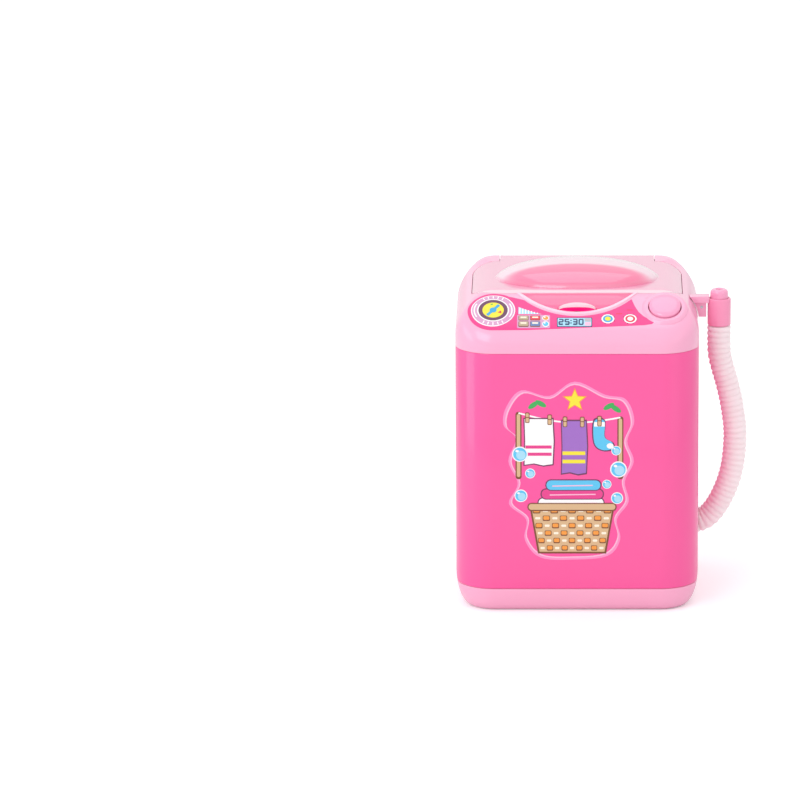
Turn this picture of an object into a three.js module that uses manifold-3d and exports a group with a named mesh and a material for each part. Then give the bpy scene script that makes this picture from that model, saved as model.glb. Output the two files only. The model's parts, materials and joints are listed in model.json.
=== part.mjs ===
import * as THREE from 'three';
import { mergeVertices } from 'three/addons/utils/BufferGeometryUtils.js';
import Module from 'manifold-3d';

// Toy washing machine: a small top loader with a lift-up see-through lid, a push button,
// a geared impeller, two cells behind a rear door and a ribbed drain hose on its right side.
// Millimetres. X to the right seen from the front, Y to the back, Z up. The origin is the
// middle of the flat underside.

const wasm = await Module();
wasm.setup();

// Clearances
const gap = 0.3; // between pieces that are fitted to each other
const seam = 0.1; // between housings stacked edge to edge
const runningGap = 0.4; // round anything that turns or slides
const overrun = 1.5; // how far a cutter runs past the face it cuts
const weld = 0.0005; // points nearer than this are one point
const sliver = 0.004; // detail finer than this is left out

// Housing
const bodyWidth = 105;
const bodyDepth = 95;
const topHeight = 137.7;
const planRadius = 17;
const wall = 2;
const baseHeight = 10.6;
const coverDrop = 22.2; // from the top down to the shell's upper edge
const shellTop = topHeight - coverDrop;
const footInset = 6.5; // how far the foot is drawn in under the body
const footRise = 16; // the height at which it starts
const lipHeight = 4;
const lipWall = 1.6;

// Top cover
const shoulderRadius = 17;
const rearEdgeRadius = 6;
const frontEdgeRadius = 6;
const creaseBack = 22.5; // from the front face to the crease
const creaseBlend = 3;
const slopeDegrees = 30.5;

// Mouth, an ellipse seen from above, with a bead where it crosses the slope
const mouthSide = 20.3; // from the side of the body in to the mouth
const mouthFront = 10;
const mouthRear = 26;
const mouthHalfWidth = bodyWidth / 2 - mouthSide;
const mouthHalfDepth = (bodyDepth - mouthFront - mouthRear) / 2;
const mouthBack = mouthFront + mouthHalfDepth; // from the front face to the centre of the mouth and tub
const beadWidth = 1.5;
const beadHeight = 0.8;
const collarWall = 1.6;
const collarLift = 1.6;
const collarBottom = shellTop + collarLift;

// Lid
const lidThickness = 1.6;
const lidGap = 0.5;
const lidSide = 7.1; // from the side of the body in to the lid
const lidHalfWidth = bodyWidth / 2 - lidSide;
const lidCornerRadius = 11;
const lidRear = 16.5;
const lidBack = bodyDepth - lidRear; // from the front face to the rear edge of its wide part
const tabSide = 18.7;
const tabHalfWidth = bodyWidth / 2 - tabSide;
const bubbleSide = 9.6; // flat rim beside the bubble
const bubbleHalfWidth = lidHalfWidth - bubbleSide;
const bubbleRim = 8;
const bubbleHalfDepth = mouthHalfDepth - bubbleRim;
const bubbleHeight = 8.2;
const bubbleShift = 9.5; // how far its middle lies behind the middle of the mouth
const bubbleBack = mouthBack + bubbleShift;
const lipHalfWidth = 9.2; // finger lip in the flap's edge
const lipHalfDepth = 5.2;
const lipRise = 3;
const lipSkin = 1.2;
const hingeRear = 4.5;
const hingeBack = bodyDepth - hingeRear;
const hingeDrop = 3.2; // from the top down to the hinge axis
const barrelRadius = 2.6;
const hingePinRadius = 1.2;
const hingePinLength = 2.4;
const cheekRadius = 3.1;

// Push button and switch, set square to the slope
const buttonSide = 14.8;
const buttonX = bodyWidth / 2 - buttonSide;
const buttonBack = 13.5;
const buttonRadius = 6.8;
const buttonProud = 1.7;
const buttonDome = 1.6;
const buttonSkirt = 4.5;
const buttonWall = 1.3;
const buttonTravel = 2.2;
const surroundRise = 1;
const surroundRadius = 9.8;
const guideWall = 1.3;
const guideDepth = 7.5;
const guideFloor = 1.2;
const plungerRadius = 1.5;
const plungerHole = 3.2;
const gripRadius = 2.6;
const switchSide = 7;
const switchHeight = 6;
const socketWall = 1.2;

// Tub
const tubWall = 1.6;
const tubFloor = 47.6;
const tubFlare = 2.5;
const tubFloorRadius = Math.min(mouthHalfWidth, mouthHalfDepth) - tubFlare;
const tubFillet = 3;
const flangeTop = collarBottom - gap;
const flangeThickness = 1.6;
const flangeWidth = 2.4;
const earRadius = 3.4;
const earReach = 7;
const earX = mouthHalfWidth + earReach;
const earY = 4;
const ribCount = 6;
const ribDepth = 1.4;
const ribWidth = 1.8;
const ribFoot = 8;
const ribHead = 12;

// Drain
const drainInset = 5;
const drainX = tubFloorRadius - drainInset;
const drainBore = 2.5;
const sumpWall = 1.7;
const sumpFoot = 5.5;
const spoutRadius = 4.75;
const spigotRadius = 3.1;
const spigotLength = 7;

// Impeller and its shaft
const impellerMargin = 7;
const impellerRadius = tubFloorRadius - impellerMargin;
const impellerThickness = 1.8;
const impellerLift = 1.7;
const hubRadius = 4.4;
const hubHeight = 6.5;
const vaneCount = 4;
const vaneHeight = 4.5;
const vaneWidth = 1.6;
const shaftRadius = 1.5;
const sealRadius = 4;
const sealFlange = 5.4;
const sealLip = 0.9;

// Gear train: motor pinion, compound gear, output gear
const toothModule = 0.7;
const wheelTeeth = 32;
const pinionTeeth = 10;
const pressureDegrees = 25;
const toothPlay = 0.16; // taken off each tooth's thickness at the pitch circle
const addendumShare = 0.8;
const dedendumShare = 1.05;
const wheelFace = 3;
const pinionFace = 4.6;
const gearStep = 0.7; // between the faces of neighbouring gears
const axleRadius = 1;

// Motor
const motorRadius = 10;
const motorHalfFlat = 7.5;
const motorCanLength = 20;
const motorCapLength = 4.6;
const motorBoss = 3;
const motorBossHeight = 1.4;
const motorSpread = 20.5; // from the output axis forward to the motor axis

// Gear case
const plateBottom = 29;
const plateThickness = 1.6;
const caseWall = 1.5;
const caseTop = 42.6;
const caseRadius = 4;
const caseFront = 12.5; // from the motor axis forward to the case wall
const postRadius = 3;
const postInset = 3.4;
const pilotRadius = 1.4;

// Fasteners
const screwRadius = 1.1;
const headRadius = 2.2;
const headHeight = 1.5;
const screwLength = 9;
const gearScrewLength = 19;
const basePostRun = 7; // from the corner's centre out to the base screw
const baseScrewRise = 9;
const cornerPostTop = 32;

// Battery box and door
const cellLength = 48.5;
const cellRadius = 7.1;
const cellNub = 2.6;
const cellNubLength = 1.3;
const cellPitch = 15.4;
const boxWall = 1.5;
const boxDepth = 16.3;
const boxSlack = 3.1; // room for a contact at each end of a cell
const boxFoot = 15;
const contactThickness = 0.4;
const contactWidth = 8;
const doorMargin = 0.4;
const doorRim = 2.4;
const doorTongueWidth = 11;
const doorTongueHeight = 7;

// Hose bracket, nozzle and hose
const hoseRadius = 5.15;
const hoseBore = 3.75;
const ribPitch = 3;
const ribGroove = 0.6;
const sleeveReach = 9.1; // from the side of the body out to the sleeve's axis
const sleeveX = bodyWidth / 2 + sleeveReach;
const sleeveDrop = 18.8; // from the top down to the sleeve's lower end
const sleeveBottom = topHeight - sleeveDrop;
const sleeveLength = 11.9;
const sleeveTop = sleeveBottom + sleeveLength;
const sleeveRadius = 5.05;
const nozzleRadius = 3.85;
const nozzleRise = 3.9;
const nozzleTip = sleeveTop + nozzleRise;
const nozzleBore = 1.3;
const nozzleSpigot = 7;
const armRise = 1.1; // how far the arm stands above the sleeve
const armThickness = 2.8;
const armTop = sleeveTop + armRise;
const armBottom = armTop - armThickness;
const webDepth = 9.3;
const webBottom = armTop - webDepth;
const webReach = 3.5;
const webOut = bodyWidth / 2 + webReach;
const webThickness = 3;
const armDepth = 6;
const pegRadius = 2.2;
const bracketPinReach = 1.5;
const bracketPinX = bodyWidth / 2 + bracketPinReach;
const bracketPinRadius = 0.6;
const wallHoleRadius = 5.8;
const outletReach = 0.1;
const outletX = bodyWidth / 2 + outletReach; // where the hose passes the side wall
const outletZ = 30.8;
const outletDegrees = 18;
const outletRun = 12; // straight run inside the wall

const deg = Math.PI / 180;
const slope = slopeDegrees * deg;
const frontY = -bodyDepth / 2;
const mouthY = frontY + mouthBack;

const paint = {
  hotPink: { color: 0xff66ac, roughness: 0.35, metalness: 0 },
  palePink: { color: 0xffbbdb, roughness: 0.35, metalness: 0 },
  midPink: { color: 0xfe99bf, roughness: 0.35, metalness: 0 },
  lidPink: { color: 0xffd3e4, roughness: 0.2, metalness: 0, transparent: true, opacity: 0.6 },
  tubPink: { color: 0xf9298a, roughness: 0.4, metalness: 0 },
  hose: { color: 0xf4dde2, roughness: 0.45, metalness: 0 },
  white: { color: 0xf2f2f0, roughness: 0.45, metalness: 0 },
  ivory: { color: 0xefe9da, roughness: 0.5, metalness: 0 },
  black: { color: 0x26262a, roughness: 0.55, metalness: 0 },
  steel: { color: 0xb9bcc2, roughness: 0.3, metalness: 1 },
  cellJacket: { color: 0x3b6fb5, roughness: 0.35, metalness: 0.1 },
};

const machine = new THREE.Group();

function place(name, geometry, finish, parent = machine) {
  const mesh = new THREE.Mesh(geometry, new THREE.MeshStandardMaterial(paint[finish]));
  mesh.name = name;
  parent.add(mesh);
  return mesh;
}

function solidOf(geometry) {
  const plain = geometry.clone();
  plain.deleteAttribute('normal');
  plain.deleteAttribute('uv');
  const merged = mergeVertices(plain, weld);
  return new wasm.Manifold(new wasm.Mesh({
    numProp: 3,
    vertProperties: new Float32Array(merged.attributes.position.array),
    triVerts: new Uint32Array(merged.index.array),
  }));
}

function geometryOf(solid) {
  const mesh = solid.simplify(sliver).getMesh();
  const geometry = new THREE.BufferGeometry();
  geometry.setAttribute('position', new THREE.BufferAttribute(mesh.vertProperties, 3));
  geometry.setIndex(new THREE.BufferAttribute(mesh.triVerts, 1));
  geometry.computeVertexNormals();
  return geometry;
}

function join(...solids) {
  return solids.reduce((sum, next) => sum.add(next));
}

// Outlines in plan

function roundedRect(left, right, front, rear, radius) {
  const shape = new THREE.Shape();
  shape.absarc(right - radius, front + radius, radius, -Math.PI / 2, 0);
  shape.absarc(right - radius, rear - radius, radius, 0, Math.PI / 2);
  shape.absarc(left + radius, rear - radius, radius, Math.PI / 2, Math.PI);
  shape.absarc(left + radius, front + radius, radius, Math.PI, Math.PI * 1.5);
  return shape;
}

function disc(radius, x = 0, y = 0) {
  return new THREE.Shape().absarc(x, y, radius, 0, Math.PI * 2);
}

function oval(halfWidth, halfDepth, x = 0, y = 0) {
  return new THREE.Shape().absellipse(x, y, halfWidth, halfDepth, 0, Math.PI * 2);
}

// An outline pulled up from one height to another. An arc gets 2 * steps sides.
function prism(shape, low, high, steps = 8) {
  const geometry = new THREE.ExtrudeGeometry(shape, {
    depth: high - low, bevelEnabled: false, curveSegments: steps,
  });
  return geometry.translate(0, 0, low);
}

function column(radius, low, high, x = 0, y = 0, steps = 8) {
  return prism(disc(radius, x, y), low, high, steps);
}

function block(left, right, front, rear, low, high) {
  const geometry = new THREE.BoxGeometry(right - left, rear - front, high - low);
  return geometry.translate((left + right) / 2, (front + rear) / 2, (low + high) / 2);
}

// A closed solid through rings of equal count, bottom ring first, each counted anticlockwise
function loft(rings) {
  const count = rings[0].length;
  const points = rings.flat().map((point) => point.toArray()).flat();
  const faces = [];
  for (let level = 0; level + 1 < rings.length; level += 1) {
    for (let step = 0; step < count; step += 1) {
      const low = level * count + step;
      const lowNext = level * count + ((step + 1) % count);
      faces.push(low, lowNext, lowNext + count, low, lowNext + count, low + count);
    }
  }
  [rings[0], rings[rings.length - 1]].forEach((ring, end) => {
    const middle = ring.reduce((sum, point) => sum.add(point), new THREE.Vector3());
    points.push(...middle.divideScalar(count).toArray());
    const hub = points.length / 3 - 1;
    const first = end === 0 ? 0 : (rings.length - 1) * count;
    for (let step = 0; step < count; step += 1) {
      const here = first + step;
      const next = first + ((step + 1) % count);
      faces.push(...(end === 0 ? [hub, next, here] : [hub, here, next]));
    }
  });
  const geometry = new THREE.BufferGeometry();
  geometry.setAttribute('position', new THREE.Float32BufferAttribute(points, 3));
  geometry.setIndex(faces);
  return geometry;
}

// The housing's plan outline, drawn in by an inset
function planRing(inset, height) {
  const radius = planRadius - inset;
  const cornerX = bodyWidth / 2 - planRadius;
  const cornerY = bodyDepth / 2 - planRadius;
  const signs = [[1, 1], [-1, 1], [-1, -1], [1, -1]];
  const steps = 6;
  return signs.flatMap(([signX, signY], corner) => Array.from({ length: steps + 1 }, (_, step) => {
    const angle = (corner + step / steps) * Math.PI / 2;
    return new THREE.Vector3(
      signX * cornerX + radius * Math.cos(angle),
      signY * cornerY + radius * Math.sin(angle),
      height,
    );
  }));
}

function ovalRing(halfWidth, halfDepth, height, y, count = 32) {
  return Array.from({ length: count }, (_, step) => {
    const angle = (step / count) * Math.PI * 2;
    return new THREE.Vector3(halfWidth * Math.cos(angle), y + halfDepth * Math.sin(angle), height);
  });
}

// Top cover: one soft surface over the whole plan

function fallAtEdge(inward, radius) {
  if (inward >= radius) return 0;
  return radius - Math.sqrt(radius ** 2 - (radius - Math.max(inward, 0)) ** 2);
}

function softMin(a, b, blend) {
  const share = Math.max(blend - Math.abs(a - b), 0) / blend;
  return Math.min(a, b) - share ** 2 * blend / 4;
}

// Height of the slope's plane over a place in y
function slopeHeight(y) {
  return topHeight + (y - frontY - creaseBack) * Math.tan(slope);
}

// The cover's surface, or that surface drawn in square to itself by an inset
function coverHeight(x, y, inset) {
  const radius = planRadius - inset;
  const overX = Math.abs(x) - (bodyWidth / 2 - planRadius);
  const overY = Math.abs(y) - (bodyDepth / 2 - planRadius);
  let inward = radius - Math.max(overX, overY);
  let sideShare = overX > overY ? 1 : 0;
  if (overX > 0 && overY > 0) {
    const reach = Math.hypot(overX, overY);
    inward = radius - reach;
    sideShare = (overX / reach) ** 2;
  }
  const edgeRadius = sideShare * shoulderRadius + (1 - sideShare) * rearEdgeRadius - inset;
  const top = topHeight - inset - fallAtEdge(inward, edgeRadius);
  const front = slopeHeight(y) - inset / Math.cos(slope) - fallAtEdge(inward, frontEdgeRadius - inset);
  return softMin(top, front, creaseBlend);
}

// A solid under that surface, down to a level bottom. Rows run across and follow the plan.
function coverForm(inset, bottom) {
  const halfWidth = bodyWidth / 2 - inset;
  const halfDepth = bodyDepth / 2 - inset;
  const radius = planRadius - inset;
  const turnShares = [0, 1, 2, 3, 4, 5, 6].map((step) => 1 - Math.cos((step / 6) * (Math.PI / 2)));
  const ends = turnShares.map((share) => halfDepth - share * radius);
  const crease = [-1, 0, 1].map((step) => frontY + creaseBack + step * creaseBlend);
  const rows = [...ends.map((y) => -y), ...crease, mouthY, mouthY + mouthHalfDepth, ...ends.reverse()];
  const sideShares = turnShares.map((share) => 1 - share * radius / halfWidth);
  const inner = sideShares[sideShares.length - 1];
  const halfShares = [...sideShares, inner / 2];
  const columns = [...halfShares.map((share) => -share), 0, ...halfShares.reverse()];
  const points = [];
  rows.forEach((y) => {
    const over = Math.max(Math.abs(y) - (halfDepth - radius), 0);
    const reach = halfWidth - radius + Math.sqrt(Math.max(radius ** 2 - over ** 2, 0));
    columns.forEach((share) => {
      const x = reach * share;
      points.push(x, y, coverHeight(x, y, inset));
    });
  });
  const across = columns.length;
  const faces = [];
  for (let row = 0; row + 1 < rows.length; row += 1) {
    for (let step = 0; step + 1 < across; step += 1) {
      const near = row * across + step;
      const far = near + across;
      faces.push(near, near + 1, far + 1, near, far + 1, far);
    }
  }
  const last = rows.length - 1;
  const rim = [
    ...columns.map((_, step) => step),
    ...rows.slice(1).map((_, row) => (row + 1) * across + across - 1),
    ...columns.slice(1).map((_, step) => last * across + across - 2 - step),
    ...rows.slice(1, last).map((_, row) => (last - 1 - row) * across),
  ];
  const base = points.length / 3;
  rim.forEach((corner) => points.push(points[corner * 3], points[corner * 3 + 1], bottom));
  const hub = points.length / 3;
  points.push(0, 0, bottom);
  rim.forEach((corner, step) => {
    const next = (step + 1) % rim.length;
    faces.push(corner, base + step, base + next, corner, base + next, rim[next]);
    faces.push(hub, base + next, base + step);
  });
  const geometry = new THREE.BufferGeometry();
  geometry.setAttribute('position', new THREE.Float32BufferAttribute(points, 3));
  geometry.setIndex(faces);
  return solidOf(geometry);
}

// The lid's wide part and hinge tab in plan, grown all round by a margin
const creaseY = frontY + creaseBack;
const lidRearY = frontY + lidBack;
const hingeY = frontY + hingeBack;
const hingeZ = topHeight - hingeDrop;

function lidOutline(margin, rear, low) {
  const wide = roundedRect(
    -lidHalfWidth - margin, lidHalfWidth + margin, creaseY - margin, lidRearY + margin,
    lidCornerRadius + margin,
  );
  const high = topHeight + overrun;
  const tab = block(
    -tabHalfWidth - margin, tabHalfWidth + margin, lidRearY - lidCornerRadius, rear, low, high,
  );
  return solidOf(prism(wide, low, high, 3)).add(solidOf(tab));
}

// Mouth cylinder, grown or shrunk by a margin
function mouthPrism(margin, low, high) {
  return solidOf(prism(oval(mouthHalfWidth + margin, mouthHalfDepth + margin, 0, mouthY), low, high, 24));
}

const skyHeight = topHeight + bubbleHeight;
const coverOuter = coverForm(0, shellTop + seam);
const lidBed = lidThickness + gap;

// Frame of the button: its origin is on the slope, Z square to it
const buttonY = frontY + buttonBack;
const buttonZ = slopeHeight(buttonY);
const buttonFrame = new THREE.Matrix4()
  .makeRotationX(slope)
  .setPosition(buttonX, buttonY, buttonZ);

const wellRadius = buttonRadius + runningGap;
const guideRadius = wellRadius + guideWall;
const socketTop = -guideDepth - guideFloor;
const socketBottom = socketTop - gap - switchHeight;
const pegY = mouthY;
const pegZ = (webBottom + armBottom) / 2;

function onSlope(geometry) {
  return solidOf(geometry.applyMatrix4(buttonFrame));
}

// A seat for a screw under the cover, beside the tub
const earPlaces = [[-1, -1], [1, -1], [-1, 1], [1, 1]].map(([sideX, sideY]) => [
  sideX * (sideY < 0 ? earX : earX - earY * 2), mouthY + (sideY < 0 ? -earY : mouthHalfDepth - earY),
]);

function makeCover() {
  const bedFoot = hingeZ - barrelRadius - runningGap;
  const zone = lidOutline(gap, frontY + bodyDepth + overrun, bedFoot);
  const zoneWall = lidOutline(gap + wall, frontY + bodyDepth + overrun, bedFoot - wall);
  const hollow = coverForm(wall, shellTop - overrun).subtract(zoneWall)
    .add(coverForm(lidBed + wall, shellTop - overrun));
  const lipOuter = wall + gap;
  const lipInner = lipOuter + lipWall;
  const lipFoot = shellTop - lipHeight;
  const lip = solidOf(loft([planRing(lipOuter, lipFoot), planRing(lipOuter, shellTop + seam)]));
  const lipRoot = solidOf(loft([
    planRing(wall / 2, shellTop + seam), planRing(wall / 2, shellTop + lipWall),
  ]));
  const lipHole = solidOf(loft([
    planRing(lipInner, lipFoot - overrun), planRing(lipInner, shellTop + lipWall + overrun),
  ]));
  const collar = mouthPrism(collarWall, collarBottom, topHeight)
    .intersect(coverForm(wall / 2, collarBottom - overrun));
  const cheeks = [-1, 1].map((side) => {
    const near = side * (tabHalfWidth + gap);
    const far = near + side * (hingePinLength + wall);
    const [left, right] = [Math.min(near, far), Math.max(near, far)];
    return solidOf(block(left, right, hingeY - cheekRadius, frontY + bodyDepth - wall / 2,
      hingeZ - cheekRadius, topHeight - wall / 2));
  });
  const trough = solidOf(block(
    -tabHalfWidth - wall, tabHalfWidth + wall, hingeY - barrelRadius - wall - gap,
    frontY + bodyDepth - wall / 2, hingeZ - barrelRadius - wall - gap, topHeight - lidBed - wall / 2,
  ));
  const seats = earPlaces.map(([x, y]) => solidOf(column(postRadius, collarBottom, topHeight - lidBed, x, y, 6)));
  const guide = onSlope(column(guideRadius, socketTop, 0, 0, 0, 10));
  const socketHalf = switchSide / 2 + gap + socketWall;
  const socket = onSlope(block(
    -socketHalf, socketHalf, -socketHalf, socketHalf, socketBottom, socketTop + guideFloor / 2,
  ));
  const inside = coverForm(wall / 2, collarBottom - lipHeight);
  const fittings = join(collar, trough, ...cheeks, ...seats, guide, socket).intersect(inside);
  const surround = onSlope(new THREE.LatheGeometry([
    [0, -wall / 2], [surroundRadius, -wall / 2], [surroundRadius, 0], [guideRadius, surroundRise],
    [0, surroundRise],
  ].map(([x, y]) => new THREE.Vector2(x, y)), 24).rotateX(Math.PI / 2));
  const bead = mouthPrism(0, collarBottom, skyHeight)
    .intersect(coverForm(-beadHeight, collarBottom))
    .subtract(coverForm(wall / 2, collarBottom - overrun));

  const shell = coverOuter.subtract(hollow);
  let cover = join(shell, lipRoot.add(lip).subtract(lipHole), fittings, surround, bead);
  cover = cover.subtract(zone.subtract(coverForm(lidBed, collarBottom - overrun)));
  const holeMargin = -beadWidth;
  const upperHole = mouthPrism(holeMargin, collarBottom - overrun, skyHeight);
  const lowerHole = mouthPrism(0, collarBottom - overrun, shellTop + lipHeight * 2);
  cover = cover.subtract(upperHole).subtract(lowerHole);
  const barrelPocket = solidOf(column(
    barrelRadius + runningGap, -tabHalfWidth - gap, tabHalfWidth + gap, 0, 0, 8,
  ).rotateY(Math.PI / 2).translate(0, hingeY, hingeZ));
  const barrelWindow = solidOf(block(
    -tabHalfWidth - gap, tabHalfWidth + gap, hingeY, bodyDepth, hingeZ - barrelRadius - runningGap, skyHeight,
  ));
  const pinHole = solidOf(column(
    hingePinRadius + gap, -tabHalfWidth - gap - hingePinLength, tabHalfWidth + gap + hingePinLength, 0, 0, 6,
  ).rotateY(Math.PI / 2).translate(0, hingeY, hingeZ));
  const well = onSlope(column(wellRadius, -guideDepth, surroundRise + overrun, 0, 0, 10));
  const stemHole = onSlope(column(plungerHole, socketTop - overrun, -guideDepth + overrun, 0, 0, 6));
  const switchHalf = switchSide / 2 + gap;
  const switchHole = onSlope(block(
    -switchHalf, switchHalf, -switchHalf, switchHalf, socketBottom - overrun, socketTop,
  ));
  const pegHole = solidOf(column(pegRadius + gap, 0, bodyWidth / 2 + overrun, 0, 0, 6)
    .rotateY(Math.PI / 2).translate(0, pegY, pegZ))
    .subtract(solidOf(block(
      -bodyWidth, bodyWidth / 2 - wall * 3, -bodyDepth, bodyDepth, 0, skyHeight,
    )));
  const pilots = earPlaces.map(([x, y]) => solidOf(column(
    pilotRadius, collarBottom - overrun, collarBottom + screwLength, x, y, 4,
  )));
  [barrelPocket, barrelWindow, pinHole, well, stemHole, switchHole, pegHole, ...pilots]
    .forEach((cut) => {
      cover = cover.subtract(cut);
    });
  return cover;
}

place('top_cover', geometryOf(makeCover()), 'palePink');

// Lid: follows the cover's surface, with the bubble, crescent flap and hinge barrel

function halfEgg(halfWidth, halfDepth, height, level) {
  const turns = 6;
  const profile = [new THREE.Vector2(0, 0)];
  for (let step = 0; step <= turns; step += 1) {
    const angle = (step / turns) * Math.PI / 2;
    profile.push(new THREE.Vector2(step === turns ? 0 : Math.cos(angle), Math.sin(angle)));
  }
  return solidOf(new THREE.LatheGeometry(profile, 36)
    .rotateX(Math.PI / 2)
    .scale(halfWidth, halfDepth, height)
    .translate(0, frontY + bubbleBack, level));
}

function makeLid() {
  const flapMargin = -beadWidth - lidGap;
  const flap = mouthPrism(flapMargin, collarBottom, skyHeight).intersect(solidOf(block(
    -bodyWidth, bodyWidth, -bodyDepth, creaseY + lidCornerRadius, collarBottom, skyHeight,
  )));
  const outline = lidOutline(0, hingeY, collarBottom).add(flap);
  const skin = coverForm(0, collarBottom).subtract(coverForm(lidThickness, collarBottom - overrun));
  const level = topHeight - lidThickness;
  const bubble = halfEgg(bubbleHalfWidth, bubbleHalfDepth, bubbleHeight + lidThickness, level);
  const bubbleInside = halfEgg(
    bubbleHalfWidth - lidThickness, bubbleHalfDepth - lidThickness, bubbleHeight, level - gap,
  );
  const lipY = mouthY - mouthHalfDepth - flapMargin;
  const lipTurn = new THREE.Matrix4().makeRotationX(slope).setPosition(0, lipY, slopeHeight(lipY));
  const hood = (shrink) => solidOf(new THREE.SphereGeometry(1, 20, 10)
    .scale(lipHalfWidth - shrink, lipHalfDepth - shrink, lipRise - shrink)
    .applyMatrix4(lipTurn));
  const hoodOuter = hood(0).intersect(mouthPrism(flapMargin, collarBottom, skyHeight))
    .subtract(coverForm(lidThickness, collarBottom - overrun));
  const barrel = solidOf(column(barrelRadius, -tabHalfWidth, tabHalfWidth, 0, 0, 8)
    .rotateY(Math.PI / 2).translate(0, hingeY, hingeZ));
  const pin = solidOf(column(
    hingePinRadius, -tabHalfWidth - hingePinLength, tabHalfWidth + hingePinLength, 0, 0, 6,
  ).rotateY(Math.PI / 2).translate(0, hingeY, hingeZ));
  return join(skin.intersect(outline), bubble, hoodOuter, barrel, pin)
    .subtract(bubbleInside).subtract(hood(lipSkin));
}

place('lid', geometryOf(makeLid()), 'lidPink');

// Body shell: four-sided tube, drawn in a little at its foot

function footInsetAt(height) {
  if (height >= footRise) return 0;
  return footInset * (1 - Math.sqrt(1 - ((footRise - height) / footRise) ** 2));
}

const cornerX = bodyWidth / 2 - planRadius;
const cornerY = bodyDepth / 2 - planRadius;
const baseScrewPlaces = [[1, 1], [-1, 1], [-1, -1], [1, -1]].map(([signX, signY]) => [
  signX * (cornerX + basePostRun * Math.SQRT1_2), signY * (cornerY + basePostRun * Math.SQRT1_2),
  signX, signY,
]);

const shellLow = baseHeight + seam;
const shellPostFoot = baseHeight + lipHeight + gap;
const outlet = new THREE.Vector3(outletX, mouthY, outletZ);
const outletTurn = outletDegrees * deg;
const outward = new THREE.Vector3(Math.cos(outletTurn), 0, Math.sin(outletTurn));

// A round bar along the hose's straight run, between two distances from the wall crossing
function alongOutlet(radius, from, to, steps = 8) {
  return solidOf(column(radius, from, to, 0, 0, steps)
    .rotateY(Math.PI / 2 - outletTurn)
    .translate(outlet.x, outlet.y, outlet.z));
}

const boxHalfWidth = cellLength / 2 + boxSlack;
const doorFace = bodyDepth / 2;
const boxRear = doorFace - wall - gap;
const boxFront = boxRear - boxDepth;
const cellLowZ = boxFoot + boxWall + gap + cellRadius;
const boxInnerTop = cellLowZ + cellPitch + cellRadius + gap;
const boxInnerFoot = boxFoot + boxWall;
const tongueTop = boxInnerTop + doorTongueHeight;
const doorScrewZ = boxInnerTop + boxWall + (doorTongueHeight - boxWall) / 2;

function doorOutline(margin) {
  const shape = new THREE.Shape();
  const half = boxHalfWidth + margin;
  const tongue = doorTongueWidth / 2 + margin;
  shape.moveTo(-half, boxInnerFoot - margin);
  shape.lineTo(half, boxInnerFoot - margin);
  shape.lineTo(half, boxInnerTop + margin);
  shape.lineTo(tongue, boxInnerTop + margin);
  shape.absarc(tongue - caseRadius, tongueTop + margin - caseRadius, caseRadius, 0, Math.PI / 2);
  shape.absarc(caseRadius - tongue, tongueTop + margin - caseRadius, caseRadius, Math.PI / 2, Math.PI);
  shape.lineTo(-tongue, boxInnerTop + margin);
  shape.lineTo(-half, boxInnerTop + margin);
  return shape;
}

// Turns an outline drawn in X and Z into a plate between two places in y
function uprightPlate(shape, front, rear, steps = 4) {
  return prism(shape, 0, rear - front, steps).rotateX(Math.PI / 2).translate(0, rear, 0);
}

function makeShell() {
  const levels = [shellLow, (shellLow + footRise) / 2, footRise, shellTop];
  const outer = solidOf(loft(levels.map((level) => planRing(footInsetAt(level), level))));
  const first = shellLow - overrun;
  const inner = solidOf(loft([
    planRing(footInsetAt(shellLow) + wall, first),
    ...levels.slice(0, 3).map((level) => planRing(footInsetAt(level) + wall, level)),
    planRing(wall, shellTop + overrun),
  ]));
  let shell = outer.subtract(inner);
  baseScrewPlaces.forEach(([x, y, signX, signY]) => {
    const post = solidOf(column(postRadius, shellPostFoot, cornerPostTop, x, y, 6));
    const reach = planRadius - wall / 2 - basePostRun;
    const rib = solidOf(block(0, reach, -wall / 2, wall / 2, shellPostFoot, cornerPostTop)
      .rotateZ(Math.atan2(signY, signX)).translate(x, y, 0));
    const pilot = solidOf(column(
      pilotRadius, shellPostFoot - overrun, cornerPostTop - wall, x, y, 4,
    ));
    shell = shell.add(post.add(rib)).subtract(pilot);
  });
  const hoseHole = alongOutlet(wallHoleRadius, -overrun * 4, overrun * 4, 10);
  const window = solidOf(uprightPlate(doorOutline(doorMargin), doorFace - wall - overrun, doorFace + overrun));
  return shell.subtract(hoseHole).subtract(window);
}

place('body_shell', geometryOf(makeShell()), 'hotPink');

// Base cover: a tray with a level underside, an inner lip and screw wells

const plateTop = plateBottom + plateThickness;
const wheelPitch = toothModule * wheelTeeth / 2;
const pinionPitch = toothModule * pinionTeeth / 2;
const gearCentres = wheelPitch + pinionPitch;
const wheelTip = wheelPitch + addendumShare * toothModule;
const pinionTip = pinionPitch + addendumShare * toothModule;
const outputY = mouthY;
const motorY = outputY - motorSpread;
const compoundX = -Math.sqrt(gearCentres ** 2 - (motorSpread / 2) ** 2);
const compoundY = outputY - motorSpread / 2;
const caseLeft = compoundX - wheelTip - runningGap * 2 - caseWall;
const caseRight = motorRadius + gap + postRadius + postInset;
const caseRear = outputY + wheelTip + runningGap * 2 + caseWall;
const caseFrontY = motorY - caseFront;
const casePosts = [
  [caseLeft + postInset, caseFrontY + postInset], [caseRight - postInset, caseFrontY + postInset],
  [caseLeft + postInset, caseRear - postInset], [caseRight - postInset, caseRear - postInset],
];

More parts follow.
